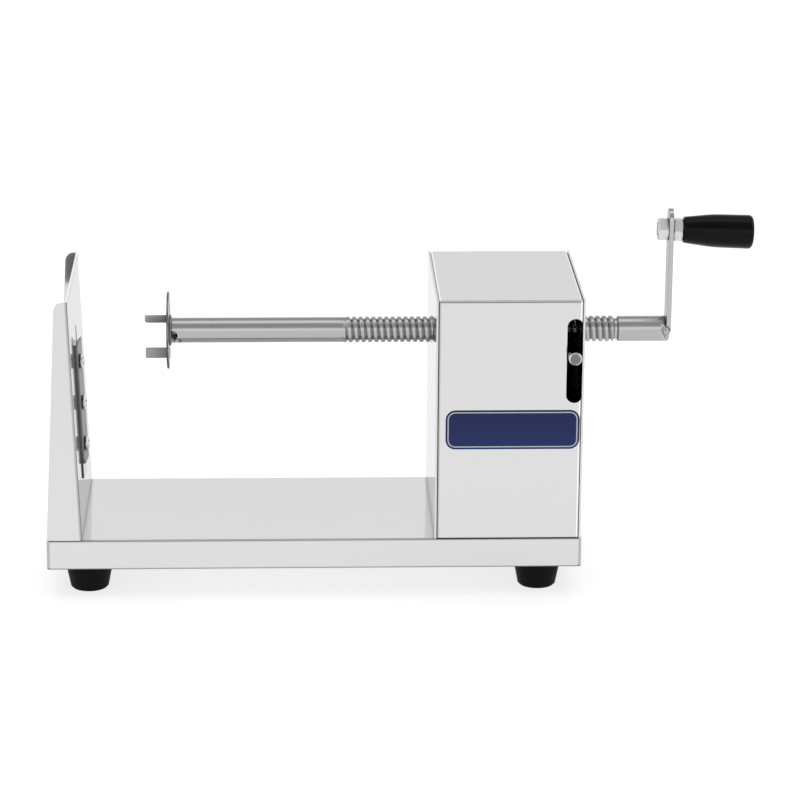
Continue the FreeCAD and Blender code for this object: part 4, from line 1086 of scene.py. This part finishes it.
def set_world(looks):
    """An even white sky to look at, and the same white at a lower level to light with."""
    world = bpy.data.worlds.new("studio_sky")
    world.use_nodes = True
    bpy.context.scene.world = world
    sky = Graph(world.node_tree)
    seen = seen_directly(sky)
    level = seen * looks.sky + (1 - seen) * looks.world
    light = sky.add("ShaderNodeBackground", {}, {"Color": (1, 1, 1, 1), "Strength": level})
    sky.add("ShaderNodeOutputWorld", {}, {"Surface": light})


def softbox(name, centre, target, width, height, brightness):
    """A rectangular lamp aimed at a target, unseen by the camera and by reflections."""
    lamp = bpy.data.lights.new(name, "AREA")
    lamp.shape = "RECTANGLE"
    lamp.size = width
    lamp.size_y = height
    lamp.energy = brightness * math.pi * width * height
    piece = bpy.data.objects.new(name, lamp)
    bpy.context.scene.collection.objects.link(piece)
    aim = (Vector(target) - Vector(centre)).to_track_quat("-Z", "Y")
    piece.matrix_world = Matrix.Translation(centre) @ aim.to_matrix().to_4x4()
    piece.visible_camera = False
    piece.visible_glossy = False


def glowing_card(name, points, brightness):
    """A card of one brightness that only reflections show."""
    tone = Finish(name)
    light = tone.add("ShaderNodeEmission", {}, {"Strength": brightness})
    tone.add("ShaderNodeOutputMaterial", {}, {"Surface": light})
    sheet = card(name, points, tone.material)
    sheet.visible_camera = False
    sheet.visible_diffuse = False
    sheet.visible_shadow = False
    sheet.visible_transmission = False
    return sheet


def curved_card(name, low, high, distance, brightness):
    """A card bent round the spindle between two elevations, in degrees from the front."""
    elevation = np.radians(np.linspace(low, high, 13))[:, None]
    x = np.array([[-CARD_REACH, CARD_REACH]])
    x, elevation = np.broadcast_arrays(x, elevation)
    y = AXIS_Y - distance * np.cos(elevation)
    z = AXIS_Z + distance * np.sin(elevation)
    glowing_card(name, np.stack([x, y, z], axis=-1), brightness)


def upright_flag(name, x_span, y, z_span, brightness):
    """A flat card that faces the front."""
    x, z = np.meshgrid(x_span, z_span)
    return glowing_card(name, np.stack([x, np.full_like(x, y), z], axis=-1), brightness)


def set_flags():
    """Two flags that darken single reflections.

    A small dark one stands by the stand's front gusset, where the rear gusset's inner face reflects it.
    A black one stands close behind the lever's slot, so that little light from the front gets in there.
    """
    upright_flag("small_flag", GUSSET_FLAG_X, GUSSET_FLAG_Y, GUSSET_FLAG_Z, 0.15)
    slot_x = (HOUSING_HIGH.x - 18 * MM, HOUSING_HIGH.x - 1.6 * MM)
    slot_z = (TRAY_HIGH.z + 82 * MM, TRAY_HIGH.z + 146 * MM)
    upright_flag("slot_flag", slot_x, HOUSING_LOW.y + 4 * MM, slot_z, 0.0).visible_shadow = True


class CUTTER_OT_studio(bpy.types.Operator):
    """Set the floor, the sky, the softboxes, the grey cards and the camera"""

    bl_idname = "cutter.studio"
    bl_label = "Studio"

    def execute(self, context):
        scene = context.scene
        looks = scene.cutter.studio
        scene.view_settings.view_transform = "Standard"
        x, y = np.meshgrid((-FLOOR_REACH, FLOOR_REACH), (-FLOOR_REACH, FLOOR_REACH))
        card("floor", np.stack([x, y, np.zeros_like(x)], axis=-1), floor_material(looks))
        set_world(looks)
        for name, centre, target, width, height in SOFTBOXES:
            softbox(name, centre, target, width, height, looks.softbox)
        for name, low, high, distance, level, share in CURVED_CARDS:
            curved_card(name, low, high, distance, getattr(looks, level) * share)
        set_flags()
        lens = bpy.data.cameras.new("camera")
        lens.lens = CAMERA_LENS
        lens.sensor_width = CAMERA_SENSOR
        lens.clip_start = 0.05
        camera = bpy.data.objects.new("camera", lens)
        scene.collection.objects.link(camera)
        turn = Matrix.Rotation(math.radians(CAMERA_HEADING), 4, "Z")
        turn = turn @ Matrix.Rotation(math.radians(90 - CAMERA_DROP), 4, "X")
        turn = turn @ Matrix.Rotation(math.radians(CAMERA_ROLL), 4, "Z")
        camera.matrix_world = Matrix.Translation(CAMERA_AT) @ turn
        scene.camera = camera
        return {"FINISHED"}


# ---------------------------------------------------------------- panel and registration

STEPS = (
    CUTTER_OT_sheet_metal, CUTTER_OT_working_steel, CUTTER_OT_soft_pieces, CUTTER_OT_spindle,
    CUTTER_OT_screws, CUTTER_OT_welds, CUTTER_OT_label, CUTTER_OT_studio,
)


class CUTTER_PT_panel(bpy.types.Panel):
    """The cutter's steps, in the 3D view's sidebar"""

    bl_idname = "CUTTER_PT_panel"
    bl_label = "Spiral potato cutter"
    bl_space_type = "VIEW_3D"
    bl_region_type = "UI"
    bl_category = "Cutter"

    def draw(self, context):
        for step in STEPS:
            self.layout.operator(step.bl_idname)


CLASSES = (ThreadSizes, SteelLooks, LabelLooks, StudioLooks, CutterLooks, *STEPS, CUTTER_PT_panel)


def register():
    """Add the sizes, the steps and the panel."""
    for kind in CLASSES:
        bpy.utils.register_class(kind)
    bpy.types.Scene.cutter = bpy.props.PointerProperty(
        type=CutterLooks, name="Cutter", description="Sizes and looks of the cutter")


def unregister():
    """Take them out again."""
    del bpy.types.Scene.cutter
    for kind in reversed(CLASSES):
        bpy.utils.unregister_class(kind)


def main():
    """Run every step in order."""
    register()
    for step in STEPS:
        group, name = step.bl_idname.split(".")
        getattr(getattr(bpy.ops, group), name)()


if __name__ == "__main__":
    main()
